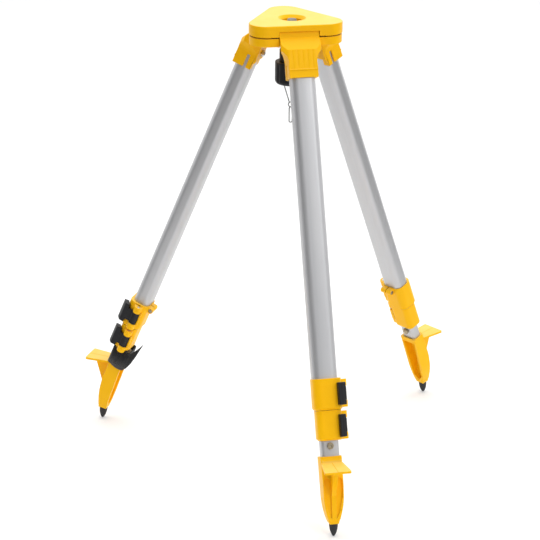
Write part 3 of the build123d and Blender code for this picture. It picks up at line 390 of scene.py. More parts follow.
def turned(profile, steps=48):
    """Round solid about Z from (radius, height) points that start and end on the axis."""
    shape = bmesh.new()
    points = [shape.verts.new((radius, 0, height)) for radius, height in profile]
    lines = [shape.edges.new(pair) for pair in zip(points, points[1:])]
    bmesh.ops.spin(shape, geom=points + lines, cent=(0, 0, 0), axis=(0, 0, 1), angle=2 * pi, steps=steps,
                   use_merge=True)
    bmesh.ops.remove_doubles(shape, verts=shape.verts, dist=weld_mm)
    bmesh.ops.recalc_face_normals(shape, faces=shape.faces)
    return shape


def make_six_sided(shape, radius, low, high):
    """Moves the round points of one radius between two heights onto a hexagon that fits inside it."""
    for point in shape.verts:
        if abs(hypot(point.co.x, point.co.y) - radius) < 0.01 and low <= point.co.z <= high:
            angle = atan2(point.co.y, point.co.x) % (pi / 3) - pi / 6
            shrink = cos(pi / 6) / cos(angle)
            point.co.x *= shrink
            point.co.y *= shrink


def make_crossed(shape, radius, low, high):
    """Moves the round points of one radius between two heights onto a cross with four narrow arms."""
    for point in shape.verts:
        if abs(hypot(point.co.x, point.co.y) - radius) < 0.01 and low <= point.co.z <= high:
            angle = abs(degrees(atan2(point.co.y, point.co.x)) % 90 - 45)
            if angle < cross_arm_angle:
                point.co.x *= cross_inner_share
                point.co.y *= cross_inner_share


def join_shapes(shape, other, matrix):
    """Adds another shape, put in place by a matrix, to the first."""
    bmesh.ops.transform(other, matrix=matrix, verts=other.verts)
    scrap = bpy.data.meshes.new("joined")
    other.to_mesh(scrap)
    other.free()
    shape.from_mesh(scrap)
    bpy.data.meshes.remove(scrap)


cover_screws = bmesh.new()
for turn in (30, 150, 270):
    screw = turned(screw_profile + screw_recess)
    make_crossed(screw, screw_recess_radius, -0.1, screw_recess_depth)
    turn_in = Matrix.Rotation(radians(turn - 60), 4, "Z")
    join_shapes(cover_screws, screw, turn_in @ Matrix.Translation((screw_circle, 0, screw_head_low)))
bmesh.ops.transform(cover_screws, matrix=in_metres, verts=cover_screws.verts)
set_piece(cover_screws, "cover_screws", steel, "head", "steel", "cap_screws")

# Hinge pins: three plain pins of ground steel that lie in the forks of the casting and carry the brackets.
# The ribs of the cover hold them down. They stay as drawn in CAD.


def dress_node(node, finish):
    """Gives a node that stays as drawn in CAD its finish."""
    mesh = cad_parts[node].data
    mesh.materials.clear()
    mesh.materials.append(finish)


dress_node("hinge_pins", steel)

# Fixing screw: plated steel, 5/8 inch with 11 turns to the inch at the top for the instrument, plain shank below.
# It slides and turns in the hub of the casting and is pressed into the knob.
thread_radius = 7.9
thread_root = 6.75
thread_pitch = 25.4 / 11
thread_top = -2.0
thread_end = -22.0
thread_steps = 40
shank_radius = 6.0
shank_end = -98.0
shank_chamfer = 0.8
thread_lead = 1.2
lead_radius = thread_root - 0.6

# Its edges are lighter: wear of the plating, and painted highlight
dull_zinc = grained_finish("dull_zinc_screw", grain=(2200.0, 260.0), gloss=(0.35, 0.55), bump=(0.00008, 0.3),
                           tones=((0.15, 0.15, 0.155, 1.0), (0.30, 0.30, 0.295, 1.0)),
                           layers=[(worn_edges_and_highlight, {"Reach": 0.0006, "Break": 300.0}, 0.4, (0.55, 0.55, 0.54, 1.0))],
                           Metallic=1.0)

fixing_screw = bmesh.new()
tooth_line = [(thread_root, -0.46), (thread_radius, -0.07), (thread_radius, 0.07), (thread_root, 0.46),
              (thread_root, 0.54)]
points = [fixing_screw.verts.new((radius, 0, thread_top + thread_pitch + share * thread_pitch))
          for radius, share in tooth_line]
lines = [fixing_screw.edges.new(pair) for pair in zip(points, points[1:])]
turns = int((thread_top - thread_end) / thread_pitch) + 3
bmesh.ops.spin(fixing_screw, geom=points + lines, cent=(0, 0, 0), axis=(0, 0, 1), angle=2 * pi * turns,
               dvec=(0, 0, -thread_pitch / thread_steps), steps=thread_steps * turns)
bmesh.ops.remove_doubles(fixing_screw, verts=fixing_screw.verts, dist=0.002)
for height, away in ((thread_top, 1), (thread_end, -1)):
    whole = [*fixing_screw.verts, *fixing_screw.edges, *fixing_screw.faces]
    cut = bmesh.ops.bisect_plane(fixing_screw, geom=whole, plane_co=(0, 0, height), plane_no=(0, 0, away),
                                 clear_outer=True)
    rim = [e for e in cut["geom_cut"] if isinstance(e, bmesh.types.BMEdge)]
    bmesh.ops.edgeloop_fill(fixing_screw, edges=rim)
for point in fixing_screw.verts:
    lead = max(lead_radius, thread_radius - max(0.0, thread_lead - (thread_top - point.co.z)))
    reach = hypot(point.co.x, point.co.y)
    if reach > lead:
        point.co.x *= lead / reach
        point.co.y *= lead / reach
bmesh.ops.recalc_face_normals(fixing_screw, faces=fixing_screw.faces)
shank = turned([(0.0, thread_end), (shank_radius, thread_end), (shank_radius, shank_end + shank_chamfer),
                (shank_radius - shank_chamfer, shank_end), (0.0, shank_end)])
join_shapes(fixing_screw, shank, Matrix.Identity(4))
bmesh.ops.transform(fixing_screw, matrix=in_metres, verts=fixing_screw.verts)
set_piece(fixing_screw, "threaded_screw", dull_zinc, "fixing_screw", "steel", "fixing_screw")

# Knob: black moulded nylon with a smooth neck, a flat ledge and a wider grip with shallow flutes.
# A boss in the recess below is cross-drilled for the hook. It is moulded over the screw's shank.
knob_flutes = 14
knob_flute_top = -75.5
knob_steps = 12 * knob_flutes
knob_flute_depth = 0.9
knob_flute_half = 9.0
knob_grip = 26.5
knob_profile = [(0.0, -98.05), (6.05, -98.05), (6.05, -52.1), (18.7, -52.1), (19.3, -52.35), (19.5, -52.9),
                (19.5, -71.6), (19.8, -72.1), (25.5, -72.1), (26.2, -72.4), (26.5, -73.1), (26.5, -76.0),
                (26.5, -102.2), (26.3, -104.2), (25.6, -106.1), (24.5, -107.6), (23.0, -108.6), (21.2, -109.05),
                (19.6, -109.1), (19.0, -108.7), (19.0, -99.6), (5.6, -99.6), (5.0, -100.2), (5.0, -108.6),
                (4.5, -109.1), (0.0, -109.1)]

# Black finish: lighter edges as wear and painted highlight, and greyer upward faces as dust and painted sheen
black = grained_finish("black_moulding", grain=(1100.0, 30.0), gloss=(0.38, 0.50), bump=(0.0002, 0.4),
                       tones=((0.0065, 0.0065, 0.0078, 1.0), (0.011, 0.011, 0.0135, 1.0)),
                       layers=[(worn_edges_and_highlight, {"Reach": 0.0012, "Break": 140.0}, 0.45, (0.055, 0.056, 0.062, 1.0)),
                               (settled_dust_and_sheen, {"Patches": 45.0}, 0.10, (0.20, 0.19, 0.17, 1.0))],
                       Specular_IOR_Level=0.28)

knob = turned(knob_profile, steps=knob_steps)
for point in knob.verts:
    reach = hypot(point.co.x, point.co.y)
    if reach > knob_grip - 1.0 and point.co.z < knob_flute_top:
        off = (degrees(atan2(point.co.y, point.co.x)) + 180 / knob_flutes) % (360 / knob_flutes) - 180 / knob_flutes
        if abs(off) < knob_flute_half:
            sunk = reach - knob_flute_depth * (0.5 + 0.5 * cos(pi * off / knob_flute_half))
            point.co.x *= sunk / reach
            point.co.y *= sunk / reach
bmesh.ops.transform(knob, matrix=in_metres, verts=knob.verts)
set_piece(knob, "fixing_knob_grip", black, "fixing_screw", "black_moulding", "fixing_knob")

# Thrust washer: a plain ring stamped from plated steel, between the knob and the hub of the casting.
# It lies loose on the knob's neck and rises with it. It stays as drawn in CAD.
dress_node("thrust_washer", steel)

# Plumb hook: one bent piece of dull plated wire, with a bail through the knob's boss, an eye and a narrow loop.
# The plumb line hangs from the loop. The wire swings in the boss.
wire_radius = 0.9
wire_sides = 14
bail_top = -104.1
bail_half = 14.0
bail_bend = 1.8
eye_height = -145.1
eye_radius = 4.1
loop_half = 2.6
loop_bend = 2.34
loop_length = 26.0
eye_lap = 0.3


def wire_ring(shape, at, heading):
    """Cross-section of the wire at a point of the XZ plane, square to a heading in degrees from X."""
    turn_to = Matrix.Translation((at[0], 0, at[1])) @ Matrix.Rotation(radians(90 - heading), 4, "Y")
    ring = bmesh.ops.create_circle(shape, segments=wire_sides, radius=wire_radius, matrix=turn_to)
    points = ring["verts"]
    return points + list({e for point in points for e in point.link_edges})


def draw_straight(shape, ring, heading, length):
    """Draws the wire on in a straight line."""
    drawn = bmesh.ops.extrude_edge_only(shape, edges=[e for e in ring if isinstance(e, bmesh.types.BMEdge)])["geom"]
    ends = [v for v in drawn if isinstance(v, bmesh.types.BMVert)]
    bmesh.ops.translate(shape, verts=ends, vec=(length * cos(radians(heading)), 0, length * sin(radians(heading))))
    return ends + [e for e in drawn if isinstance(e, bmesh.types.BMEdge) and all(v in ends for v in e.verts)]


def bend_left(shape, ring, heading, radius, angle, steps):
    """Bends the wire to the left of its heading round a radius."""
    points = [v for v in ring if isinstance(v, bmesh.types.BMVert)]
    middle = sum((v.co for v in points), Vector()) / len(points)
    centre = middle + Vector((-sin(radians(heading)), 0, cos(radians(heading)))) * radius
    bent = bmesh.ops.spin(shape, geom=ring, cent=centre, axis=(0, -1, 0), angle=radians(angle), steps=steps)
    return bent["geom_last"]


hook = bmesh.new()
bail_low = (eye_radius * 0.6, eye_height + eye_radius * 0.8)
bail_rise = Vector((bail_half - bail_low[0], bail_top - bail_low[1]))
bail_heading = degrees(atan2(bail_rise.y, bail_rise.x))
bail_corner = 180 - bail_heading
bail_cut = bail_bend * sin(radians(bail_corner / 2)) / cos(radians(bail_corner / 2))
ring = wire_ring(hook, bail_low, bail_heading)
ring = draw_straight(hook, ring, bail_heading, bail_rise.length - bail_cut)
ring = bend_left(hook, ring, bail_heading, bail_bend, bail_corner, 8)
ring = draw_straight(hook, ring, 180, 2 * bail_half - 2 * bail_cut)
ring = bend_left(hook, ring, 180, bail_bend, bail_corner, 8)
ring = draw_straight(hook, ring, 180 + bail_corner, bail_rise.length - bail_cut)
bmesh.ops.holes_fill(hook, edges=hook.edges)
ring = wire_ring(hook, (eye_radius, eye_height), 90)
bmesh.ops.spin(hook, geom=ring, cent=(0, 0, eye_height), axis=(0, -1, 0), angle=2 * pi, steps=36, use_merge=True)
loop_top = eye_height - eye_radius - eye_lap
ring = wire_ring(hook, (loop_half, loop_top - loop_length + loop_bend), 90)
heading = 90
for length in (loop_length - 2 * loop_bend, 2 * loop_half - 2 * loop_bend) * 2:
    ring = draw_straight(hook, ring, heading, length)
    ring = bend_left(hook, ring, heading, loop_bend, 90, 6)
    heading += 90
bmesh.ops.remove_doubles(hook, verts=hook.verts, dist=0.002)
bmesh.ops.recalc_face_normals(hook, faces=hook.faces)
bmesh.ops.transform(hook, matrix=in_metres, verts=hook.verts)
set_piece(hook, "plumb_hook_wire", dull_zinc, "plumb_hook", "steel", "plumb_hook")

# Leg brackets: yellow mouldings that hang on the hinge pins and grip the tops of the legs.
# A bolt with a nut on the inner side clamps each one on its tube. The flutes and the ridge are moulded in.
bracket_edge = 0.0006
leg_turns = {"front": 0.0, "right": 120.0, "left": -120.0}
leg_spread = 22.7
hinge_at = (0.0, -47.0, -24.8)
leg_frames = {leg: in_metres @ Matrix.Rotation(radians(turn), 4, "Z") @ Matrix.Translation(hinge_at)
              @ Matrix.Rotation(radians(-leg_spread), 4, "X") for leg, turn in leg_turns.items()}
for leg in leg_frames:
    set_piece(moulded_copy(f"{leg}_leg_bracket", bracket_edge), f"{leg}_bracket", yellow, f"{leg}_upper",
              "yellow_moulding", f"{leg}_leg_bracket")

# Leg tubes: three drawn aluminium sections in each leg, satin anodised, sliding inside one another.
# Fine die lines run along them, and their tone changes in long slow bands.
tube_offset = 6.0
tube_crown = 0.27
tube_sections = {
    "upper": (40.5, 29.0, 10.5, 1.6, 30.0, 558.9),
    "middle": (35.0, 23.5, 7.75, 1.5, 120.0, 609.2),
    "lower": (29.7, 18.2, 5.1, 1.5, 180.0, 671.5),
}

aluminium, tree, shader = new_finish("drawn_aluminium", Metallic=1.0)
along = add_node(tree, "ShaderNodeAttribute", attribute_name="leg")
drawn = add_node(tree, "ShaderNodeVectorMath", {0: along.outputs["Vector"], 1: (1.0, 1.0, 0.006)},
                 operation="MULTIPLY")
lines = add_node(tree, "ShaderNodeTexNoise", {"Vector": drawn.outputs[0], "Scale": 3.2, "Detail": 5.0,
                                              "Roughness": 0.65})
slow = add_node(tree, "ShaderNodeVectorMath", {0: along.outputs["Vector"], 1: (1.0, 1.0, 0.05)}, operation="MULTIPLY")
bands = add_node(tree, "ShaderNodeTexNoise", {"Vector": slow.outputs[0], "Scale": 0.11, "Detail": 3.0})
tone = blend_tone(tree, bands.outputs["Fac"], (0.52, 0.525, 0.54, 1.0), (0.59, 0.59, 0.60, 1.0))
tone = blend_tone(tree, part_of(tree, lines.outputs["Fac"], 0.25), tone, (0.52, 0.52, 0.535, 1.0))
tree.links.new(tone, shader.inputs["Base Color"])
tree.links.new(spread(tree, lines.outputs["Fac"], 0.44, 0.56), shader.inputs["Roughness"])
across = add_node(tree, "ShaderNodeVectorMath", {0: along.outputs["Vector"], 1: (1.0, 1.0, 0.0)},
                  operation="MULTIPLY")
off_axis = add_node(tree, "ShaderNodeVectorMath", {0: across.outputs[0], 1: (0.0, tube_offset, 0.0)},
                    operation="ADD")
bow = add_node(tree, "ShaderNodeVectorMath", {0: off_axis.outputs[0], 1: off_axis.outputs[0]},
               operation="DOT_PRODUCT")
crown = add_node(tree, "ShaderNodeMath", {0: bow.outputs["Value"], 1: -tube_crown, 2: lines.outputs["Fac"]},
                 operation="MULTIPLY_ADD")
raise_from(tree, shader, crown.outputs[0], 0.000015, 1.0)


def drawn_tube(width, thick, corner, wall, top, end):
    """Rounded rectangular tube between two depths of a leg, in the leg's own frame."""
    shape = bmesh.new()
    bmesh.ops.create_grid(shape, x_segments=1, y_segments=1, size=0.5)
    bmesh.ops.scale(shape, vec=(width, thick, 1), verts=shape.verts)
    bmesh.ops.bevel(shape, geom=shape.verts[:], offset=corner, offset_type="OFFSET", segments=10, profile=0.5,
                    affect="VERTICES", material=-1)
    drawn = bmesh.ops.extrude_face_region(shape, geom=shape.faces[:])["geom"]
    ends = [v for v in drawn if isinstance(v, bmesh.types.BMVert)]
    bmesh.ops.translate(shape, verts=ends, vec=(0, 0, top - end))
    caps = [f for f in shape.faces if len(f.verts) > 4]
    bmesh.ops.delete(shape, geom=caps, context="FACES_ONLY")
    bmesh.ops.recalc_face_normals(shape, faces=shape.faces)
    bmesh.ops.solidify(shape, geom=shape.faces[:], thickness=wall)
    bmesh.ops.translate(shape, verts=shape.verts, vec=(0, -tube_offset, -top))
    return shape


def keep_leg_place(shape, leg):
    """Notes each point's place along the leg for the finish, then puts the shape on that leg."""
    place = shape.verts.layers.float_vector.new("leg")
    for point in shape.verts:
        point[place] = point.co
    bmesh.ops.transform(shape, matrix=leg_frames[leg], verts=shape.verts)
    return shape


for leg in leg_frames:
    for part, sizes in tube_sections.items():
        set_piece(keep_leg_place(drawn_tube(*sizes), leg), f"{leg}_{part}_section", aluminium, f"{leg}_{part}",
                  "tube_aluminium", f"{leg}_{part}_tube")

# Guide bushes: natural nylon plugs on the tops of the inner tubes, which centre them in the tube outside.
# They sit inside the leg and stay as drawn in CAD.
nylon = grained_finish("natural_nylon", grain=(900.0, 60.0), gloss=(0.45, 0.6), bump=(0.0001, 0.3),
                       tones=((0.66, 0.64, 0.58, 1.0), (0.74, 0.73, 0.68, 1.0)),
                       Subsurface_Weight=0.1)
for leg in leg_frames:
    for part in ("middle", "lower"):
        dress_node(f"{leg}_{part}_bush", nylon)

# Lock collars: yellow mouldings on the lower ends of the outer tubes, with two lugs each for the lever's pin.
# The upper one is slit on its inner side and clamped by a small screw.
collar_edge = 0.0004
for leg in leg_frames:
    set_piece(moulded_copy(f"{leg}_upper_collar", collar_edge), f"{leg}_upper_lock", yellow, f"{leg}_upper",
              "yellow_moulding", f"{leg}_upper_collar")
    set_piece(moulded_copy(f"{leg}_lower_collar", collar_edge), f"{leg}_lower_lock", yellow, f"{leg}_middle",
              "yellow_moulding", f"{leg}_lower_collar")

# Fixings of the upper section: the lever's rivet, the clamp screw with its nut, and the bolt and nut of the bracket.
# The rivet and the bracket's nut are zinc plated, the clamp screw and its nut are browned steel.
rivet_radius = 2.5
upper_rivet = (29.6, -4.0, -544.7, 44.6)
lower_rivet = (26.85, -4.0, -595.0, 44.6)
clamp_at = (4.0, 14.44, -548.5)
clamp_head_in = 8.05
clamp_nut_in = 8.85
clamp_socket = 1.8
bracket_nut_at = (0.0, 11.55, -36.5)
bracket_nut_across = 10.0
bracket_nut_thick = 5.0

# Its edges are lighter: wear of the finish, and painted highlight
browned = grained_finish("browned_steel", grain=(2600.0, 150.0), gloss=(0.3, 0.45), bump=(0.00006, 0.25),
                         tones=((0.33, 0.27, 0.18, 1.0), (0.50, 0.43, 0.30, 1.0)),
                         layers=[(worn_edges_and_highlight, {"Reach": 0.0008, "Break": 260.0}, 0.6, (0.70, 0.68, 0.64, 1.0))],
                         Metallic=1.0)


def lever_rivet(at_x, at_y, top, length):
    """Pin through both lugs of a collar, with a rounded edge and a dimple at each end."""
    edge = 0.35
    half_line = [(0.0, -0.5), (1.0, -0.35), (1.4, 0.0), (rivet_radius - edge, 0.0), (rivet_radius, -edge)]
    far_line = [(radius, -length - height) for radius, height in reversed(half_line)]
    shape = turned(half_line + far_line, steps=32)
    bmesh.ops.translate(shape, verts=shape.verts, vec=(at_x, at_y, top))
    return shape


def six_sided_nut(across, thick, hole):
    """Nut on the XY plane with its corners chamfered, and the end of its bolt standing just proud."""
    corner = across / 2 / cos(pi / 6)
    flat = across / 2
    shape = turned([(0.0, 0.0), (flat - 0.2, 0.0), (corner, 0.12 * thick), (corner, 0.88 * thick),
                    (flat - 0.2, thick), (hole + 0.4, thick), (hole, thick - 0.4), (hole - 0.2, thick - 0.2),
                    (hole - 0.2, thick + 0.5), (hole - 0.7, thick + 0.9), (0.0, thick + 0.9)])
    make_six_sided(shape, corner, 0.0, thick)
    return shape


def socket_screw(shank, length, head, head_thick, socket):
    """Cap screw pointing down Z from the underside of its head, with a hexagon socket in the head."""
    shape = turned([(0.0, -length), (shank - 0.4, -length), (shank, -length + 0.4), (shank, 0.0), (head - 0.2, 0.0),
                    (head, 0.25), (head, head_thick - 0.5), (head - 0.5, head_thick), (socket, head_thick),
                    (socket, head_thick - 1.6), (0.0, head_thick - 2.0)])
    make_six_sided(shape, socket, head_thick - 1.7, head_thick + 0.1)
    return shape


for leg in leg_frames:
    fixings = lever_rivet(*upper_rivet)
    screw_in = Matrix.Translation(clamp_at) @ Matrix.Rotation(radians(-90), 4, "Y")
    clamp_screw = socket_screw(shank=2.0, length=17.0, head=3.6, head_thick=3.9, socket=clamp_socket)
    nut_on = Matrix.Translation(clamp_at) @ Matrix.Rotation(radians(90), 4, "Y")
    clamp_nut = six_sided_nut(across=7.0, thick=2.3, hole=2.0)
    for face in [*clamp_screw.faces, *clamp_nut.faces]:
        face.material_index = 1
    join_shapes(fixings, clamp_screw, screw_in @ Matrix.Translation((0, 0, clamp_head_in)))
    join_shapes(fixings, clamp_nut, nut_on @ Matrix.Translation((0, 0, clamp_nut_in)))
    nut_in = Matrix.Translation(bracket_nut_at) @ Matrix.Rotation(radians(-90), 4, "X")
    join_shapes(fixings, six_sided_nut(bracket_nut_across, bracket_nut_thick, 3.0), nut_in)
    screws = set_piece(keep_leg_place(fixings, leg), f"{leg}_collar_screws", steel, f"{leg}_upper", "steel",
                       f"{leg}_upper_fixings")
    screws.data.materials.append(browned)
    set_piece(keep_leg_place(lever_rivet(*lower_rivet), leg), f"{leg}_lower_rivet", steel, f"{leg}_middle", "steel",
              f"{leg}_lower_lever_pin")

# Flip levers: black nylon levers that turn on the rivets and press the brake shoes with their eccentric hubs.
# The paddle that the thumb lifts has a shallow panel moulded in its outer face.
lever_edge = 0.9
lever_weld = 0.004
panel_margin = 3.4
panel_slope = 0.6
panel_depth = 0.6
panel_angles = (47.0, 74.0)
lever_corner = (12.9, -13.15)
lever_reach = {"upper": 21.6, "lower": 18.85}


def lever_shape(leg, part):
    """The lever with rounded edges, its paddle's round outer face sunk inside a raised margin."""
    shape = bmesh.new()
    shape.from_mesh(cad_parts[f"{leg}_{part}_lever"].data)
    bmesh.ops.transform(shape, matrix=leg_frames[leg].inverted(), verts=shape.verts)
    bmesh.ops.remove_doubles(shape, verts=shape.verts, dist=lever_weld)
    bmesh.ops.dissolve_limit(shape, angle_limit=flat_angle, verts=shape.verts, edges=shape.edges)
    heights = [point.co.z for point in shape.verts]
    low, high = min(heights) + panel_margin, max(heights) - panel_margin

    def panel_angle(face):
        """How far round the leg's corner a face of the paddle lies, or nothing for any other face."""
        away = face.calc_center_median() - Vector((*lever_corner, 0))
        round_face = abs(hypot(away.x, away.y) - lever_reach[part]) < 0.1 and face.normal.xy.dot(away.xy) > 0
        return degrees(atan2(-away.y, away.x)) if round_face else None

    for height in (low, high):
        outer = [f for f in shape.faces if panel_angle(f)]
        rims = {e for face in outer for e in face.edges}
        points = {v for face in outer for v in face.verts}
        bmesh.ops.bisect_plane(shape, geom=[*outer, *rims, *points], plane_co=(0, 0, height), plane_no=(0, 0, 1))
    corners = [e for e in shape.edges if e.is_manifold and e.calc_face_angle() > corner_angle]
    panel = [f for f in shape.faces if panel_angle(f) and panel_angles[0] < panel_angle(f) < panel_angles[1]
             and low < f.calc_center_median().z < high]
    bmesh.ops.inset_region(shape, faces=panel, thickness=panel_slope, depth=-panel_depth, use_even_offset=True)
    bmesh.ops.bevel(shape, geom=corners, offset=lever_edge, offset_type="OFFSET", segments=2, profile=0.5,
                    affect="EDGES", material=-1, clamp_overlap=False)
    bmesh.ops.transform(shape, matrix=leg_frames[leg], verts=shape.verts)
    return shape


for leg in leg_frames:
    for part in ("upper", "lower"):
        set_piece(lever_shape(leg, part), f"{leg}_{part}_flip_lever", black, f"{leg}_{part}_lever", "black_moulding",
                  f"{leg}_{part}_lever")

# Brake shoes: small nylon blocks inside the collars, between the levers' hubs and the tubes.
# They are hidden in the collars and stay as drawn in CAD.
for leg in leg_frames:
    for part in ("upper", "lower"):
        dress_node(f"{leg}_{part}_shoe", nylon)

# Feet: yellow mouldings on the ends of the lowest tubes, open at the back, ribbed at the front under the tread.
# Each is pressed on its tube. The tread takes the sole of a boot, so it is rubbed, and dust settles on it; its paler
# upward face is partly painted sheen.
foot_edge = 0.0006
tread_slope = radians(18.0)
tread_least_area = 400.0
tread_facing = 0.999
crease_half = 0.7
crease_depth = 0.45


def creased_foot(leg):
    """The foot with rounded corners and a shallow mould line down the middle of its tread."""
    shape = moulded_copy(f"{leg}_foot", foot_edge, plain_faces=True)
    bmesh.ops.transform(shape, matrix=leg_frames[leg].inverted(), verts=shape.verts)
    shape.normal_update()
    above = Vector((0, -sin(tread_slope), cos(tread_slope)))
    tread = [f for f in shape.faces if f.normal.dot(above) > tread_facing and f.calc_area() > tread_least_area]
    for side in (-crease_half, 0.0, crease_half):
        edges = {e for face in tread for e in face.edges}
        points = {v for face in tread for v in face.verts}
        cut = bmesh.ops.bisect_plane(shape, geom=[*tread, *edges, *points], plane_co=(side, 0, 0), plane_no=(1, 0, 0))
        tread = [f for f in cut["geom"] if isinstance(f, bmesh.types.BMFace)]
    for point in {v for face in tread for v in face.verts}:
        if abs(point.co.x) < 0.01:
            point.co -= above * crease_depth
    bmesh.ops.transform(shape, matrix=leg_frames[leg], verts=shape.verts)
    return shape


for leg in leg_frames:
    set_piece(creased_foot(leg), f"{leg}_foot_moulding", yellow, f"{leg}_lower", "yellow_moulding", f"{leg}_foot")

# Foot bolts: browned steel heads with a hexagon socket on the outer face of the tube, and a nut on the inner one.
# Each goes through the lowest tube above the foot and stops it in the collar when the leg is closed.
bolt_depth = 648.5
bolt_face = 9.15
bolt_shank = 3.0
bolt_length = 20.0
bolt_head = 5.2
bolt_head_thick = 3.3
bolt_socket = 2.3

for leg in leg_frames:
    bolt = bmesh.new()
    head_out = Matrix.Translation((0, -tube_offset - bolt_face, -bolt_depth)) @ Matrix.Rotation(radians(90), 4, "X")
    join_shapes(bolt, socket_screw(bolt_shank, bolt_length, bolt_head, bolt_head_thick, bolt_socket), head_out)
    nut_in = Matrix.Translation((0, -tube_offset + bolt_face, -bolt_depth)) @ Matrix.Rotation(radians(-90), 4, "X")
    join_shapes(bolt, six_sided_nut(across=10.0, thick=5.0, hole=bolt_shank), nut_in)
    set_piece(keep_leg_place(bolt, leg), f"{leg}_foot_screw", browned, f"{leg}_lower", "dark_steel",
              f"{leg}_foot_bolt")

# Foot points: hard dark grey rubber bullets on studs that are pushed into the toes of the feet.
# They stand on the floor and are scuffed at the nose; their lighter edges are wear and painted highlight.
point_at = (0.0, 2.7, -771.3)
point_lean = 15.0
point_profile = [(0.0, 6.4), (3.55, 6.4), (3.55, 0.0), (6.8, -0.1), (7.25, -0.6), (7.1, -3.0), (6.85, -6.0),
                 (6.45, -9.0), (6.0, -11.5), (5.3, -14.0), (4.4, -16.5), (3.4, -18.7), (2.5, -20.1),
                 (1.35, -21.2), (0.0, -21.6)]

rubber = grained_finish("point_rubber", grain=(1300.0, 90.0), gloss=(0.5, 0.7), bump=(0.0002, 0.5),
                        tones=((0.016, 0.016, 0.018, 1.0), (0.035, 0.035, 0.038, 1.0)),
                        layers=[(worn_edges_and_highlight, {"Reach": 0.0015, "Break": 200.0}, 0.4, (0.12, 0.115, 0.105, 1.0))],
                        Specular_IOR_Level=0.35)
for leg in leg_frames:
    point_shape = turned(point_profile, steps=40)
    bmesh.ops.transform(point_shape, verts=point_shape.verts,
                        matrix=Matrix.Translation(point_at) @ Matrix.Rotation(radians(point_lean), 4, "X"))
    set_piece(keep_leg_place(point_shape, leg), f"{leg}_foot_point", rubber, f"{leg}_lower", "point_rubber",
              f"{leg}_foot_tip")

# Strap: black nylon webbing wound once round the lowest tube of the left leg and stitched where it overlaps.
# It ties the legs together for carrying. Its free end is cut to a point and stands off towards the inside.
strap_top = 641.5
strap_width = 33.0
strap_thick = 1.4
strap_corner = 5.7
strap_start_at = (18.7, -11.0)
strap_runs = [(0, 16.4), (-26.0, 0), (0, -19.6), (27.45, 0), (0, 20.0)]
strap_steps = 4
strap_sag = 4.0
strap_sag_at = 1.5
strap_sag_spread = 60.0
tail_ribs = [((20.2, 10.6, -643.5), (20.2, 11.6, -676.5)), ((20.4, 14.6, -637.5), (20.4, 16.6, -668.5)),
             ((20.6, 18.4, -631.5), (20.6, 20.6, -657.5)), ((20.9, 22.4, -623.8), (20.9, 24.0, -640.5)),
             ((21.2, 25.4, -617.2), (21.2, 26.3, -624.5)), ((21.5, 27.6, -611.3), (21.5, 28.2, -611.6))]
stitch_rows = (-7.5, -4.5)
stitch_count = 8
stitch_pitch = 3.6
stitch_radius = 0.4
stitch_lift = 2.2
stitch_first = 4.0
stitch_profile = [(0.0, 1.3), (0.25, 1.22), (stitch_radius, 0.9), (stitch_radius, -0.9), (0.25, -1.22), (0.0, -1.3)]

webbing, tree, shader = new_finish("black_webbing", Specular_IOR_Level=0.3, Sheen_Weight=0.25, Sheen_Roughness=0.5)
weave_place = add_node(tree, "ShaderNodeAttribute", attribute_name="weave")
warp = add_node(tree, "ShaderNodeTexWave", {"Vector": weave_place.outputs["Vector"], "Scale": 0.30, "Distortion": 0.6,
                                            "Detail": 1.0}, bands_direction="Y")
weft = add_node(tree, "ShaderNodeTexWave", {"Vector": weave_place.outputs["Vector"], "Scale": 0.42, "Distortion": 0.8,
                                            "Detail": 1.0}, bands_direction="DIAGONAL")
yarn = add_node(tree, "ShaderNodeMath", {0: warp.outputs["Fac"], 1: weft.outputs["Fac"]}, operation="MULTIPLY")
fuzz = add_node(tree, "ShaderNodeTexNoise", {"Vector": weave_place.outputs["Vector"], "Scale": 2.5, "Detail": 6.0})
tone = blend_tone(tree, yarn.outputs[0], (0.004, 0.004, 0.005, 1.0), (0.016, 0.016, 0.020, 1.0))
tone = blend_tone(tree, part_of(tree, fuzz.outputs["Fac"], 0.25), tone, (0.024, 0.024, 0.028, 1.0))
tree.links.new(tone, shader.inputs["Base Color"])
tree.links.new(spread(tree, fuzz.outputs["Fac"], 0.62, 0.82), shader.inputs["Roughness"])
raise_from(tree, shader, yarn.outputs[0], 0.0004, 0.6)

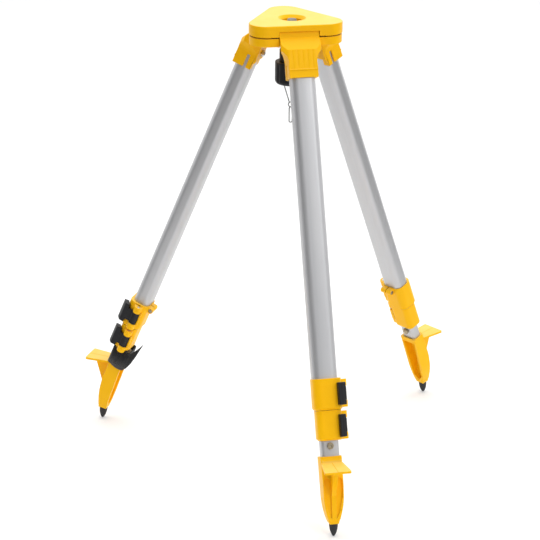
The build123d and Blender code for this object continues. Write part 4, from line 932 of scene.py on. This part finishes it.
strap = bmesh.new()
weave = strap.verts.layers.float_vector.new("weave")
strap_start = [strap.verts.new((*strap_start_at, height)) for height in (-strap_top, -strap_top - strap_width)]
rib = [*strap_start, strap.edges.new(strap_start)]
for number, go in enumerate(strap_runs):
    for step in range(strap_steps):
        drawn = bmesh.ops.extrude_edge_only(strap, edges=[rib[-1]])["geom"]
        ends = [v for v in drawn if isinstance(v, bmesh.types.BMVert)]
        bmesh.ops.translate(strap, verts=ends, vec=(go[0] / strap_steps, go[1] / strap_steps, 0))
        rib = [*ends, next(e for e in drawn if isinstance(e, bmesh.types.BMEdge) and set(e.verts) == set(ends))]
    if number < len(strap_runs) - 1:
        inward = Vector((-go[1], go[0], 0)).normalized()
        last = bmesh.ops.spin(strap, geom=rib, cent=ends[0].co + inward * strap_corner, axis=(0, 0, 1),
                              angle=radians(90), steps=7)["geom_last"]
        rib = ([v for v in last if isinstance(v, bmesh.types.BMVert)]
               + [e for e in last if isinstance(e, bmesh.types.BMEdge)])
for point in strap.verts:
    if point.co.z < -strap_top - strap_width / 2:
        point.co.z -= max(0.0, strap_sag - (point.co.y - strap_sag_at) ** 2 / strap_sag_spread)
for high, low in tail_ribs:
    drawn = bmesh.ops.extrude_edge_only(strap, edges=[rib[-1]])["geom"]
    ends = sorted((v for v in drawn if isinstance(v, bmesh.types.BMVert)), key=lambda v: -v.co.z)
    ends[0].co, ends[1].co = high, low
    rib = [*ends, next(e for e in drawn if isinstance(e, bmesh.types.BMEdge) and set(e.verts) == set(ends))]
rib_now, gone, length = strap_start, set(), 0.0
while rib_now:
    for point in rib_now:
        point[weave] = (length, -point.co.z - strap_top, 0)
        gone.add(point)
    step = [next((e.other_vert(p) for e in p.link_edges if e.other_vert(p) not in gone), None) for p in rib_now]
    if None in step:
        break
    length += sum((far.co - near.co).length for far, near in zip(step, rib_now)) / 2
    rib_now = step
bmesh.ops.recalc_face_normals(strap, faces=strap.faces)
bmesh.ops.transform(strap, matrix=leg_frames["left"], verts=strap.verts)
strap_piece = set_piece(strap, "webbing_strap", webbing, "left_lower", "webbing", "leg_strap")
strap_piece.modifiers.clear()
thickness = strap_piece.modifiers.new("webbing_thickness", "SOLIDIFY")
thickness.thickness = strap_thick * 0.001
thickness.offset = 0.0
stitches = bmesh.new()
for row in stitch_rows:
    for number in range(stitch_count):
        place = (strap_start_at[0] + stitch_lift, row, -strap_top - stitch_first - number * stitch_pitch)
        join_shapes(stitches, turned(stitch_profile, steps=10), Matrix.Translation(place))
thread = set_piece(keep_leg_place(stitches, "left"), "strap_stitching", webbing, "left_lower", "webbing")
